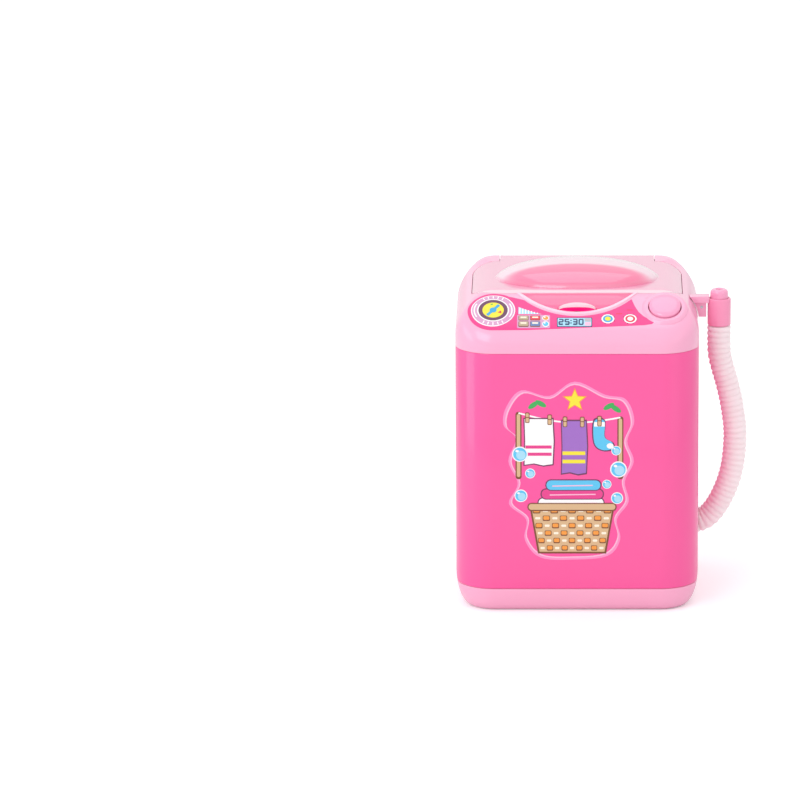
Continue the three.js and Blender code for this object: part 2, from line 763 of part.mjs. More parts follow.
function makeBase() {
  const levelShares = [0, 0.06, 0.2, 0.45, 1];
  const levels = levelShares.map((share) => share * baseHeight);
  const outer = solidOf(loft(levels.map((level) => planRing(footInsetAt(level), level))));
  const floorLevels = levels.filter((level) => level > wall);
  const inner = solidOf(loft([
    planRing(footInsetAt(wall) + wall, wall),
    ...floorLevels.map((level) => planRing(footInsetAt(level) + wall, level)),
    planRing(footInsetAt(baseHeight) + wall, baseHeight + overrun),
  ]));
  const lipOuter = footInsetAt(baseHeight) + wall + gap;
  const lipTop = baseHeight + lipHeight;
  const lipFoot = baseHeight - lipHeight;
  const lipSpace = footInsetAt(lipFoot) + wall / 2;
  const lip = solidOf(loft([
    planRing(lipSpace, lipFoot), planRing(lipOuter, baseHeight - gap), planRing(lipOuter, lipTop),
  ])).subtract(solidOf(loft([
    planRing(lipOuter + lipWall, lipFoot - overrun), planRing(lipOuter + lipWall, lipTop + overrun),
  ])));
  let base = outer.subtract(inner).add(lip);
  baseScrewPlaces.forEach(([x, y]) => {
    base = base.add(solidOf(column(postRadius + gap, wall / 2, baseHeight + lipHeight, x, y, 6)));
  });
  baseScrewPlaces.forEach(([x, y]) => {
    base = base.subtract(solidOf(column(headRadius + gap, -overrun, baseScrewRise, x, y, 6)))
      .subtract(solidOf(column(pilotRadius, 0, baseHeight + lipHeight + overrun, x, y, 4)));
  });
  casePosts.forEach(([x, y]) => {
    base = base.add(solidOf(column(postRadius, wall / 2, plateBottom - gap, x, y, 6)))
      .subtract(solidOf(column(pilotRadius, plateBottom - screwLength, plateBottom + overrun, x, y, 4)));
  });
  const motorCradle = solidOf(column(
    motorRadius / 2, wall / 2, plateBottom - gap * 2 - motorCanLength - motorCapLength, 0, motorY, 6,
  ));
  const boxRest = [-1, 1].map((side) => solidOf(block(
    side * boxHalfWidth / 2 - boxWall, side * boxHalfWidth / 2 + boxWall,
    boxFront, boxRear - boxDepth / 3, wall / 2, boxFoot - gap,
  )));
  return join(base, motorCradle, ...boxRest);
}

place('base_cover', geometryOf(makeBase()), 'palePink');

// Plain pan-head screw standing on its tip, with its head's seat at a height
function screwGeometry(length) {
  const profile = [
    [0, -length], [screwRadius / 2, -length], [screwRadius, -length + screwRadius], [screwRadius, 0],
    [headRadius, 0], [headRadius, headHeight / 2], [headRadius * 0.7, headHeight], [0, headHeight],
  ].map(([x, y]) => new THREE.Vector2(x, y));
  return new THREE.LatheGeometry(profile, 8).rotateX(Math.PI / 2);
}

baseScrewPlaces.forEach(([x, y], index) => {
  const screw = place(`base_screw_${index + 1}`, screwGeometry(screwLength + wall), 'steel');
  screw.rotation.x = Math.PI;
  screw.position.set(x, y, baseScrewRise - gap);
});

// Wash tub: oval at the mouth, round at the floor, with a drain sump under the impeller

const spoutAxisX = (x) => outletZ - (outletX - x) * Math.tan(outletTurn);

function tubRings(skin, low, fillet) {
  const top = flangeTop;
  const foot = low + fillet;
  const rings = [0, 1, 2, 3].map((step) => {
    const angle = (step / 3) * Math.PI / 2;
    const radius = tubFloorRadius + skin - fillet + fillet * Math.sin(angle);
    return ovalRing(radius, radius, low + fillet - fillet * Math.cos(angle), mouthY);
  });
  const height = flangeTop - tubFloor - tubFillet;
  const rise = (top - foot) / height;
  rings.push(ovalRing(
    tubFloorRadius + skin + (mouthHalfWidth - tubFloorRadius) * rise,
    tubFloorRadius + skin + (mouthHalfDepth - tubFloorRadius) * rise, top, mouthY,
  ));
  return rings;
}

function makeTub() {
  const outer = solidOf(loft(tubRings(tubWall, tubFloor - tubWall, tubFillet + tubWall)));
  const innerRings = tubRings(0, tubFloor, tubFillet);
  const mouthRing = ovalRing(mouthHalfWidth, mouthHalfDepth, flangeTop + overrun, mouthY);
  const inner = solidOf(loft([...innerRings, mouthRing]));
  const flangeFoot = flangeTop - flangeThickness;
  const flangeMargin = tubWall + flangeWidth;
  const flange = mouthPrism(flangeMargin, flangeFoot, flangeTop);
  const ears = earPlaces.map(([x, y]) => {
    const turn = Math.atan2(y - mouthY, x);
    const arm = Math.hypot(x, y - mouthY) - mouthHalfDepth;
    return solidOf(column(earRadius, flangeFoot, flangeTop, x, y, 6)).add(solidOf(
      block(-arm, 0, -earRadius, earRadius, flangeFoot, flangeTop).rotateZ(turn).translate(x, y, 0),
    ));
  });
  const sumpZ = spoutAxisX(drainX);
  const sump = solidOf(column(drainBore + sumpWall, sumpZ - sumpFoot, tubFloor - tubWall / 2, drainX, mouthY));
  const shoulder = -outletRun - gap;
  const back = -(outletX - drainX) / Math.cos(outletTurn);
  const spout = alongOutlet(spoutRadius, back, shoulder);
  const spigot = alongOutlet(spigotRadius, shoulder - overrun, shoulder + spigotLength);
  const shell = join(outer, flange, ...ears, sump, spout, spigot);
  const ribLow = tubFloor + tubFillet + ribFoot;
  const ribHigh = flangeTop - ribHead;
  const ribs = Array.from({ length: ribCount }, (_, index) => {
    const angle = ((index + 0.5) / ribCount) * Math.PI * 2;
    const end = (height, depth) => {
      const rise = (height - tubFloor - tubFillet) / (flangeTop - tubFloor - tubFillet);
      const x = (tubFloorRadius + (mouthHalfWidth - tubFloorRadius) * rise) * Math.cos(angle);
      const y = (tubFloorRadius + (mouthHalfDepth - tubFloorRadius) * rise) * Math.sin(angle);
      const along = new THREE.Vector2(-Math.sin(angle), Math.cos(angle)).multiplyScalar(ribWidth / 2);
      const inwardStep = new THREE.Vector2(-Math.cos(angle), -Math.sin(angle)).multiplyScalar(depth);
      const out = new THREE.Vector2(Math.cos(angle), Math.sin(angle)).multiplyScalar(tubWall / 2);
      return [
        [x + out.x - along.x, y + out.y - along.y], [x + out.x + along.x, y + out.y + along.y],
        [x + inwardStep.x + along.x / 2, y + inwardStep.y + along.y / 2],
        [x + inwardStep.x - along.x / 2, y + inwardStep.y - along.y / 2],
      ].map(([px, py]) => new THREE.Vector3(px, mouthY + py, height));
    };
    return solidOf(loft([end(ribLow, 0), end(ribLow + ribDepth, ribDepth),
      end(ribHigh - ribDepth, ribDepth), end(ribHigh, 0)]));
  });
  const sumpBore = solidOf(column(drainBore, sumpZ - drainBore, tubFloor + overrun, drainX, mouthY, 6));
  const spoutBore = alongOutlet(drainBore, back, shoulder + spigotLength + overrun, 6);
  const sealHole = solidOf(column(sealRadius + gap, tubFloor - tubWall - overrun, tubFloor + overrun, 0, outputY));
  let tub = shell.subtract(inner).add(join(...ribs));
  tub = tub.subtract(sumpBore).subtract(spoutBore).subtract(sealHole);
  earPlaces.forEach(([x, y]) => {
    tub = tub.subtract(solidOf(column(pilotRadius, flangeFoot - overrun, flangeTop + overrun, x, y, 4)));
  });
  return tub;
}

place('wash_tub', geometryOf(makeTub()), 'tubPink');

earPlaces.forEach(([x, y], index) => {
  const screw = place(`tub_screw_${index + 1}`, screwGeometry(screwLength), 'steel');
  screw.rotation.x = Math.PI;
  screw.position.set(x, y, flangeTop - flangeThickness - gap);
});

// Rubber seal in the tub's floor
const sealTop = tubFloor + sealLip;
const sealProfile = [
  [shaftRadius + runningGap, tubFloor - tubWall - sealLip], [sealRadius, tubFloor - tubWall - sealLip],
  [sealRadius, tubFloor + gap], [sealFlange, tubFloor + gap], [sealFlange - sealLip, sealTop + gap],
  [shaftRadius + runningGap, sealTop + gap], [shaftRadius + runningGap, tubFloor - tubWall - sealLip],
].map(([x, y]) => new THREE.Vector2(x, y));
place('tub_seal', new THREE.LatheGeometry(sealProfile, 16).rotateX(Math.PI / 2), 'black')
  .position.set(0, outputY, 0);

// Impeller: a dished disc with curved vanes and a closed hub over the shaft's end

const impellerFoot = tubFloor + impellerLift;
const impellerTop = impellerFoot + impellerThickness;
const hubTop = impellerFoot + hubHeight;
const shaftTop = hubTop - impellerThickness;

function makeImpeller() {
  const profile = [
    [0, impellerFoot], [impellerRadius * 0.9, impellerFoot], [impellerRadius, impellerFoot + impellerThickness / 2],
    [impellerRadius * 0.97, impellerTop], [hubRadius + impellerThickness, impellerTop + impellerThickness / 2],
    [hubRadius, hubTop - hubRadius / 4], [hubRadius * 0.7, hubTop], [0, hubTop],
  ].map(([x, y]) => new THREE.Vector2(x, y));
  let wheel = solidOf(new THREE.LatheGeometry(profile, 32).rotateX(Math.PI / 2));
  for (let index = 0; index < vaneCount; index += 1) {
    const vane = new THREE.Shape();
    const reach = impellerRadius * 0.92;
    const bow = impellerRadius * 0.22;
    vane.moveTo(0, -vaneWidth);
    vane.quadraticCurveTo(reach / 2, bow - vaneWidth, reach, 0);
    vane.lineTo(reach, vaneWidth / 2);
    vane.quadraticCurveTo(reach / 2, bow + vaneWidth, 0, vaneWidth);
    const turned = prism(vane, impellerFoot + impellerThickness / 2, impellerTop + vaneHeight, 5)
      .rotateZ((index / vaneCount) * Math.PI * 2);
    const fall = new THREE.LatheGeometry([
      new THREE.Vector2(0, impellerFoot), new THREE.Vector2(impellerRadius, impellerFoot),
      new THREE.Vector2(impellerRadius, impellerTop), new THREE.Vector2(impellerRadius * 0.8, impellerTop + vaneHeight * 0.6),
      new THREE.Vector2(hubRadius, impellerTop + vaneHeight), new THREE.Vector2(0, impellerTop + vaneHeight),
    ], 24).rotateX(Math.PI / 2);
    wheel = wheel.add(solidOf(turned).intersect(solidOf(fall)));
  }
  const bore = solidOf(column(shaftRadius + gap, impellerFoot - overrun, shaftTop + gap, 0, 0, 6));
  return wheel.subtract(bore);
}

place('impeller', geometryOf(makeImpeller()), 'white').position.set(0, outputY, 0);

// Gears

function toothedOutline(teeth, turn) {
  const pitch = toothModule * teeth / 2;
  const pressure = pressureDegrees * deg;
  const baseCircle = pitch * Math.cos(pressure);
  const tip = pitch + addendumShare * toothModule;
  const root = pitch - dedendumShare * toothModule;
  const halfTooth = (Math.PI * toothModule / 2 - toothPlay) / 2 / pitch;
  const involute = (angle) => Math.tan(angle) - angle;
  const halfAngleAt = (radius) => {
    const angle = Math.acos(Math.min(baseCircle / radius, 1));
    return halfTooth + involute(pressure) - involute(angle);
  };
  const start = Math.max(root, baseCircle);
  const flankShares = teeth > wheelTeeth / 2 ? [0, 0.5, 1] : [0, 0.35, 0.7, 1];
  const flank = flankShares.map((share) => start + share * (tip - start)).map((radius) => [radius, halfAngleAt(radius)]);
  const foot = [root, halfAngleAt(start)];
  const side = root < start ? [foot, ...flank] : flank;
  const points = [];
  for (let tooth = 0; tooth < teeth; tooth += 1) {
    const middle = turn + (tooth / teeth) * Math.PI * 2;
    side.forEach(([radius, half]) => points.push([radius, middle - half]));
    [...side].reverse().forEach(([radius, half]) => points.push([radius, middle + half]));
  }
  return new THREE.Shape(points.map(([radius, angle]) => (
    new THREE.Vector2(radius * Math.cos(angle), radius * Math.sin(angle))
  )));
}

function toothedWheel(teeth, turn, low, high) {
  return solidOf(prism(toothedOutline(teeth, turn), low, high));
}

const firstFace = plateTop + gearStep;
const wheelLow = firstFace;
const wheelHigh = wheelLow + wheelFace;
const outputLow = wheelHigh + gearStep;
const outputHigh = outputLow + wheelFace;
const smallHigh = wheelHigh + pinionFace;
const towardCompound = Math.atan2(compoundY - motorY, compoundX);
const towardOutput = Math.atan2(outputY - compoundY, -compoundX);
const bearingDrop = 3;

function makeCompound() {
  const wheel = toothedWheel(wheelTeeth, towardCompound + Math.PI + Math.PI / wheelTeeth, wheelLow, wheelHigh);
  const small = toothedWheel(pinionTeeth, towardOutput, wheelHigh - gearStep, smallHigh);
  const bore = solidOf(column(axleRadius + runningGap, wheelLow - overrun, smallHigh + overrun, 0, 0, 5));
  return wheel.add(small).subtract(bore);
}

function makeOutput() {
  const wheel = toothedWheel(wheelTeeth, towardOutput + Math.PI + Math.PI / wheelTeeth, outputLow, outputHigh);
  const lowHub = solidOf(column(gearCentres - wheelTip - runningGap, plateTop + runningGap, outputHigh));
  const hub = solidOf(column(hubRadius * 0.8, outputLow, caseTop - caseWall - runningGap)).add(lowHub);
  const holes = Array.from({ length: 5 }, (_, index) => {
    const angle = (index / 5) * Math.PI * 2;
    const reach = (wheelPitch + hubRadius) / 2;
    return solidOf(column(
      wheelPitch / 5, outputLow - overrun, outputHigh + overrun, reach * Math.cos(angle), reach * Math.sin(angle), 4,
    ));
  });
  let gear = wheel.add(hub);
  holes.forEach((hole) => {
    gear = gear.subtract(hole);
  });
  return gear.subtract(solidOf(column(shaftRadius + gap, 0, caseTop, 0, 0, 6)));
}

function makePinion() {
  const gear = toothedWheel(pinionTeeth, towardCompound, firstFace - gap, firstFace - gap + pinionFace);
  return gear.subtract(solidOf(column(axleRadius + gap, 0, caseTop, 0, 0, 5)));
}

place('compound_gear', geometryOf(makeCompound()), 'white').position.set(compoundX, compoundY, 0);
place('output_gear', geometryOf(makeOutput()), 'white').position.set(0, outputY, 0);
place('motor_pinion', geometryOf(makePinion()), 'white').position.set(0, motorY, 0);

// Shafts
const shaftFoot = plateBottom - bearingDrop + wall / 2 + gap;
place('output_shaft', column(shaftRadius, shaftFoot, shaftTop), 'steel').position.set(0, outputY, 0);
const axleFoot = plateTop - plateThickness / 2 - bearingDrop / 2 + gap;
place('compound_axle', column(axleRadius, axleFoot, caseTop - caseWall / 2 - gap, 0, 0, 6), 'steel')
  .position.set(compoundX, compoundY, 0);
const motorTop = plateBottom - gap;
const motorFoot = motorTop - motorCanLength;
place('motor_shaft', column(axleRadius, motorFoot + motorCanLength / 2, firstFace + pinionFace + gap, 0, 0, 6), 'steel')
  .position.set(0, motorY, 0);

// Motor: a drum with two flats, a plastic end cap with its terminals

function motorOutline(shrink) {
  const radius = motorRadius - shrink;
  const flat = motorHalfFlat - shrink;
  const edge = Math.asin(flat / radius);
  const shape = new THREE.Shape();
  shape.absarc(0, 0, radius, -edge, edge);
  shape.absarc(0, 0, radius, Math.PI - edge, Math.PI + edge);
  return shape;
}

function makeMotorCan() {
  const can = solidOf(prism(motorOutline(0), motorFoot, motorTop, 4));
  const boss = solidOf(column(motorBoss, motorTop - overrun, motorTop + motorBossHeight));
  const bore = solidOf(column(
    axleRadius + runningGap, motorFoot + motorCanLength / 2 - runningGap, motorTop + motorBossHeight + overrun, 0, 0, 6,
  ));
  return can.add(boss).subtract(bore);
}

function makeMotorCap() {
  const top = motorFoot - gap;
  const cap = solidOf(prism(motorOutline(gap), top - motorCapLength + gap, top, 4));
  const terminals = [-1, 1].map((side) => solidOf(block(
    side * motorRadius / 2 - axleRadius, side * motorRadius / 2 + axleRadius,
    -motorHalfFlat - motorBossHeight, -motorHalfFlat + motorBossHeight, top - motorCapLength / 2, top - motorCapLength / 4,
  )));
  return join(cap, ...terminals);
}

place('motor_can', geometryOf(makeMotorCan()), 'steel').position.set(0, motorY, 0);
place('motor_end_cap', geometryOf(makeMotorCap()), 'white').position.set(0, motorY, 0);

// Gear case: a plate on four posts with the motor under it, and a cover over the gears

function makePlate() {
  const outline = roundedRect(caseLeft, caseRight, caseFrontY, caseRear, caseRadius);
  let plate = solidOf(prism(outline, plateBottom, plateTop, 3));
  const bearing = solidOf(column(shaftRadius * 2 + gap, plateBottom - bearingDrop, plateTop, 0, outputY));
  const seat = solidOf(column(axleRadius * 2 + gap, plateBottom - bearingDrop / 2, plateTop, compoundX, compoundY));
  plate = join(plate, bearing, seat);
  const cuts = [
    column(shaftRadius + gap, shaftFoot - gap, plateTop + overrun, 0, outputY, 6),
    column(axleRadius + gap, axleFoot - gap, plateTop + overrun, compoundX, compoundY, 6),
    column(motorBoss + gap, plateBottom - overrun, plateTop + overrun, 0, motorY),
    ...casePosts.map(([x, y]) => column(pilotRadius, plateBottom - overrun, plateTop + overrun, x, y, 4)),
  ];
  cuts.forEach((cut) => {
    plate = plate.subtract(solidOf(cut));
  });
  return plate;
}

function makeGearCover() {
  const foot = plateTop + gap;
  const outline = (inset) => roundedRect(
    caseLeft + inset, caseRight - inset, caseFrontY + inset, caseRear - inset, caseRadius - inset,
  );
  const inside = solidOf(prism(outline(caseWall), foot - overrun, caseTop - caseWall, 3));
  let cover = solidOf(prism(outline(0), foot, caseTop, 3)).subtract(inside);
  casePosts.forEach(([x, y]) => {
    cover = cover.add(solidOf(column(postRadius, foot, caseTop - caseWall / 2, x, y, 6))
      .subtract(solidOf(column(wheelTip + runningGap, foot - overrun, caseTop, compoundX, compoundY, 12)))
      .subtract(solidOf(column(wheelTip + runningGap, foot - overrun, caseTop, 0, outputY, 12))));
  });
  const neck = solidOf(column(shaftRadius * 2, caseTop - caseWall / 2, tubFloor - tubWall - sealLip - gap, 0, outputY));
  cover = cover.add(neck);
  const cuts = [
    column(shaftRadius + gap, foot, tubFloor, 0, outputY, 6),
    column(axleRadius + gap, foot, caseTop - caseWall / 2, compoundX, compoundY, 6),
    ...casePosts.map(([x, y]) => column(pilotRadius, foot - overrun, caseTop + overrun, x, y, 4)),
  ];
  cuts.forEach((cut) => {
    cover = cover.subtract(solidOf(cut));
  });
  return cover;
}

place('gear_plate', geometryOf(makePlate()), 'ivory');
place('gear_cover', geometryOf(makeGearCover()), 'ivory');

casePosts.forEach(([x, y], index) => {
  place(`gear_screw_${index + 1}`, screwGeometry(gearScrewLength), 'steel')
    .position.set(x, y, caseTop + gap);
});

// Push button, its plunger and the switch, in the slope's own frame

const slopeFrame = new THREE.Group();
slopeFrame.position.set(buttonX, buttonY, buttonZ);
slopeFrame.rotation.x = slope;
machine.add(slopeFrame);

function makeButton() {
  const domeTop = buttonProud + buttonDome;
  const turns = 5;
  const profile = [[0, -buttonSkirt], [buttonRadius, -buttonSkirt]];
  for (let step = 0; step <= turns; step += 1) {
    const angle = (step / turns) * Math.PI / 2;
    profile.push([step === turns ? 0 : buttonRadius * Math.cos(angle), buttonProud + buttonDome * Math.sin(angle)]);
  }
  const cap = solidOf(new THREE.LatheGeometry(profile.map(([x, y]) => new THREE.Vector2(x, y)), 28)
    .rotateX(Math.PI / 2));
  const hollow = solidOf(column(buttonRadius - buttonWall, -buttonSkirt - overrun, buttonProud - buttonWall / 2, 0, 0, 10));
  const grip = solidOf(column(gripRadius, -buttonSkirt, domeTop - buttonWall, 0, 0, 6));
  const bore = solidOf(column(plungerRadius + gap, -buttonSkirt - overrun, buttonProud - buttonWall, 0, 0, 6));
  return cap.subtract(hollow).add(grip).subtract(bore);
}

const switchTop = socketTop - gap;
const plungerReach = buttonTravel + runningGap;
place('power_button', geometryOf(makeButton()), 'palePink', slopeFrame);
place('switch_plunger', column(
  plungerRadius, switchTop - runningGap, buttonProud - buttonWall - gap, 0, 0, 6,
), 'white', slopeFrame);
const switchBody = solidOf(block(
  -switchSide / 2, switchSide / 2, -switchSide / 2, switchSide / 2, socketBottom, switchTop,
));
const switchBore = solidOf(column(
  plungerRadius + runningGap, switchTop - runningGap - plungerReach, switchTop + overrun, 0, 0, 6,
));
place('power_switch', geometryOf(switchBody.subtract(switchBore)), 'black', slopeFrame);

// Battery box, cells and contacts

function makeBox() {
  const outer = block(
    -boxHalfWidth - boxWall, boxHalfWidth + boxWall, boxFront, boxRear, boxFoot, boxInnerTop + boxWall,
  );
  const inner = block(
    -boxHalfWidth, boxHalfWidth, boxFront + boxWall, boxRear + overrun, boxInnerFoot, boxInnerTop,
  );
  let box = solidOf(outer).subtract(solidOf(inner));
  const fence = block(
    -boxHalfWidth / 2, boxHalfWidth / 2, boxFront + boxWall / 2, boxFront + boxWall + cellRadius / 3,
    cellLowZ + cellPitch / 2 - boxWall / 3, cellLowZ + cellPitch / 2 + boxWall / 3,
  );
  const screwSeat = column(postRadius, 0, boxDepth * 0.7, 0, 0, 6)
    .rotateX(Math.PI / 2).translate(0, boxRear, doorScrewZ);
  const screwWeb = block(
    -wall / 2, wall / 2, boxRear - boxDepth * 0.7, boxRear, boxInnerTop + boxWall / 2, doorScrewZ,
  );
  box = join(box, solidOf(fence), solidOf(screwSeat), solidOf(screwWeb));
  const pilot = column(pilotRadius, -overrun, screwLength + wall, 0, 0, 4)
    .rotateX(Math.PI / 2).translate(0, boxRear, doorScrewZ);
  return box.subtract(solidOf(pilot));
}

place('battery_box', geometryOf(makeBox()), 'hotPink');

const cellY = boxFront + boxWall + gap + cellRadius;
const cellProfile = [
  [0, -cellLength / 2], [cellRadius - gap, -cellLength / 2], [cellRadius, -cellLength / 2 + gap],
  [cellRadius, cellLength / 2 - gap], [cellRadius - gap, cellLength / 2], [cellNub, cellLength / 2],
  [cellNub, cellLength / 2 + cellNubLength], [0, cellLength / 2 + cellNubLength],
].map(([x, y]) => new THREE.Vector2(x, y));
[1, -1].forEach((facing, index) => {
  const cell = place(`cell_${index + 1}`, new THREE.LatheGeometry(cellProfile, 20), 'cellJacket');
  cell.rotation.z = -facing * Math.PI / 2;
  cell.position.set(0, cellY, cellLowZ + index * cellPitch);
});

// A strip bent toward the cell's end: flat against the wall, with a springy fold
function contactOutline(reach) {
  const half = contactWidth / 2;
  const fold = reach / 2;
  const shape = new THREE.Shape();
  shape.moveTo(0, -half);
  shape.lineTo(contactThickness, -half);
  shape.lineTo(contactThickness, -fold);
  shape.lineTo(reach, -fold / 2);
  shape.lineTo(reach, fold / 2);
  shape.lineTo(contactThickness, fold);
  shape.lineTo(contactThickness, half);
  shape.lineTo(0, half);
  return shape;
}

const nubReach = boxSlack - cellNubLength - gap * 2;
const tailReach = boxSlack - gap * 2;
function contact(name, side, reach, low, high) {
  const strip = prism(contactOutline(reach), low, high);
  const mesh = place(name, strip, 'steel');
  mesh.position.set(side * (boxHalfWidth - gap), cellY, 0);
  if (side > 0) mesh.rotation.z = Math.PI;
}
const halfStrip = contactWidth / 2;
contact('contact_bridge', -1, nubReach, cellLowZ - halfStrip, cellLowZ + cellPitch + halfStrip);
contact('contact_positive', 1, nubReach, cellLowZ - halfStrip, cellLowZ + halfStrip);
contact('contact_negative', 1, tailReach, cellLowZ + cellPitch - halfStrip, cellLowZ + cellPitch + halfStrip);

// Battery door with a rim that nests in the box and a tongue for its screw

function makeDoor() {
  let door = solidOf(uprightPlate(doorOutline(0), doorFace - wall, doorFace));
  const rimOuter = block(
    -boxHalfWidth + gap, boxHalfWidth - gap, boxRear - doorRim, doorFace - wall / 2,
    boxInnerFoot + gap, boxInnerTop - gap,
  );
  const rimInner = block(
    -boxHalfWidth + gap + boxWall, boxHalfWidth - gap - boxWall, boxRear - doorRim - overrun, doorFace - wall,
    boxInnerFoot + gap + boxWall, boxInnerTop - gap - boxWall,
  );
  door = door.add(solidOf(rimOuter).subtract(solidOf(rimInner)));
  const grooves = [-1, 0, 1].map((step) => solidOf(block(
    -boxHalfWidth * 0.3, boxHalfWidth * 0.3, doorFace - wall / 3, doorFace + overrun,
    boxInnerFoot + cellRadius + step * wall * 1.5, boxInnerFoot + cellRadius + wall * 0.7 + step * wall * 1.5,
  )));
  grooves.forEach((groove) => {
    door = door.subtract(groove);
  });
  const headWell = solidOf(column(headRadius + gap, 0, headHeight, 0, 0, 6)
    .rotateX(Math.PI / 2).translate(0, doorFace + gap, doorScrewZ));
  const screwHole = solidOf(column(pilotRadius, -overrun, wall + overrun, 0, 0, 4)
    .rotateX(Math.PI / 2).translate(0, doorFace, doorScrewZ));
  return door.subtract(headWell).subtract(screwHole);
}

place('battery_door', geometryOf(makeDoor()), 'hotPink');
const doorScrew = place('door_screw', screwGeometry(screwLength), 'steel');
doorScrew.rotation.x = -Math.PI / 2;
doorScrew.position.set(0, doorFace - headHeight + gap * 2, doorScrewZ);

// Hose bracket: a web and arm on the cover's side, with the sleeve that holds the nozzle

function makeBracket() {
  const arm = block(outletX - wall * 2, sleeveX, pegY - armDepth / 2, pegY + armDepth / 2, armBottom, armTop - seam);
  const web = block(outletX - wall * 2, webOut, pegY - webThickness / 2, pegY + webThickness / 2, webBottom, armTop - seam);
  const foot = block(outletX - wall, bodyWidth / 2 + wall, pegY - armDepth / 2, pegY + armDepth / 2, webBottom, armBottom);
  const clear = coverForm(-gap, collarBottom - overrun);
  const outside = join(solidOf(arm), solidOf(web), solidOf(foot)).subtract(clear);
  const peg = solidOf(column(pegRadius, bodyWidth / 2 - wall * 2, bodyWidth / 2 + gap, 0, 0, 6)
    .rotateY(Math.PI / 2).translate(0, pegY, pegZ));
  const sleeve = solidOf(column(sleeveRadius, sleeveBottom, sleeveTop, sleeveX, pegY, 12));
  const bore = solidOf(column(nozzleRadius + gap, sleeveBottom - overrun, armTop + overrun, sleeveX, pegY, 10));
  const pinHole = onWeb(bracketPinRadius + gap, webThickness + overrun);
  return join(outside, peg, sleeve).subtract(bore).subtract(pinHole);
}

// A round bar through the bracket's web, front to back
function onWeb(radius, length) {
  return solidOf(column(radius, -length / 2, length / 2, 0, 0, 5)
    .rotateX(Math.PI / 2).translate(bracketPinX, pegY, pegZ + pegRadius / 2));
}

place('hose_bracket', geometryOf(makeBracket()), 'midPink');
place('bracket_pin', geometryOf(onWeb(bracketPinRadius, webThickness + gap)), 'steel');

function makeNozzle() {
  const foot = sleeveBottom - nozzleSpigot;
  const profile = [
    [nozzleBore, foot], [spigotRadius, foot], [spigotRadius, sleeveBottom],
    [nozzleRadius, sleeveBottom + gap], [nozzleRadius, nozzleTip - nozzleRadius / 2],
    [nozzleRadius * 0.86, nozzleTip - nozzleRadius * 0.2], [nozzleRadius * 0.6, nozzleTip],
    [nozzleBore, nozzleTip], [nozzleBore, foot],
  ].map(([x, y]) => new THREE.Vector2(x, y));
  return new THREE.LatheGeometry(profile, 20).rotateX(Math.PI / 2);
}

place('hose_nozzle', makeNozzle(), 'midPink').position.set(sleeveX, pegY, 0);

// Drain hose: ribs and bore along a route of chosen points in X and Z

const hoseTop = sleeveBottom - gap;
const hoseStart = outward.clone().multiplyScalar(-outletRun).add(outlet);
// The route, from the outlet up: how far each point stands off the side, and its share of the rise
const hoseStandoffs = [2.5, 4.9, 7.7, 10, 12.2, 14.1, 15.4, 16.1, 16.3, 15.6, 14.4, 12.8, 10.9, 9.4];
const hoseRiseShares = [
  0.009, 0.028, 0.066, 0.11, 0.164, 0.228, 0.298, 0.376, 0.458, 0.54, 0.622, 0.703, 0.78, 0.85,
];
const hoseRoute = hoseStandoffs.map((standoff, point) => [
  bodyWidth / 2 + standoff, outletZ + (hoseTop - outletZ) * hoseRiseShares[point],
]);

function makeHose() {
  const straightTop = hoseTop - hoseRadius * 2;
  const route = [
    hoseStart, outward.clone().multiplyScalar(-outletRun / 2).add(outlet), outlet.clone(),
    ...hoseRoute.map(([x, z]) => new THREE.Vector3(x, mouthY, z)),
    new THREE.Vector3(sleeveX, mouthY, straightTop + hoseRadius / 2),
    new THREE.Vector3(sleeveX, mouthY, hoseTop),
  ];
  const curve = new THREE.CatmullRomCurve3(route, false, 'centripetal');
  const length = curve.getLength();
  const ribs = Math.round(length / ribPitch);
  const ringSides = 8;
  const axis = new THREE.Vector3(0, 1, 0);
  const ringAt = (share, radius) => {
    const centre = curve.getPointAt(share);
    const along = curve.getTangentAt(share);
    if (share === 1) along.set(0, 0, 1);
    if (share === 0) along.copy(outward);
    const across = new THREE.Vector3().crossVectors(axis, along).normalize();
    return Array.from({ length: ringSides }, (_, step) => {
      const angle = ((step + 0.5) / ringSides) * Math.PI * 2;
      return centre.clone()
        .addScaledVector(across, radius * Math.cos(angle))
        .addScaledVector(axis, radius * Math.sin(angle));
    });
  };
  const skin = [];
  for (let rib = 0; rib < ribs; rib += 1) {
    skin.push(ringAt(rib / ribs, hoseRadius - ribGroove), ringAt((rib + 0.5) / ribs, hoseRadius));
  }
  skin.push(ringAt(1, hoseRadius - ribGroove));
  const bore = [];
  const ribsPerBoreRing = 5;
  for (let rib = 0; rib < ribs; rib += ribsPerBoreRing) bore.push(ringAt(rib / ribs, hoseBore));
  bore.push(ringAt(1, hoseBore));
  const rings = [...skin, ...bore];
  const points = rings.flat().flatMap((point) => point.toArray());
  const faces = [];
  const strip = (low, high, turned) => {
    for (let step = 0; step < ringSides; step += 1) {
      const next = (step + 1) % ringSides;
      const quad = [low + step, low + next, high + next, high + step];
      if (turned) quad.reverse();
      faces.push(quad[0], quad[1], quad[2], quad[0], quad[2], quad[3]);
    }
  };
  for (let ring = 0; ring + 1 < skin.length; ring += 1) strip(ring * ringSides, (ring + 1) * ringSides, false);
  const boreStart = skin.length * ringSides;
  for (let ring = 0; ring + 1 < bore.length; ring += 1) {
    strip(boreStart + ring * ringSides, boreStart + (ring + 1) * ringSides, true);
  }
  strip(0, boreStart, true);
  strip((skin.length - 1) * ringSides, boreStart + (bore.length - 1) * ringSides, false);
  const geometry = new THREE.BufferGeometry();
  geometry.setAttribute('position', new THREE.Float32BufferAttribute(points, 3));
  geometry.setIndex(faces);
  geometry.computeVertexNormals();
  return geometry;
}

place('drain_hose', makeHose(), 'hose');

export default machine;
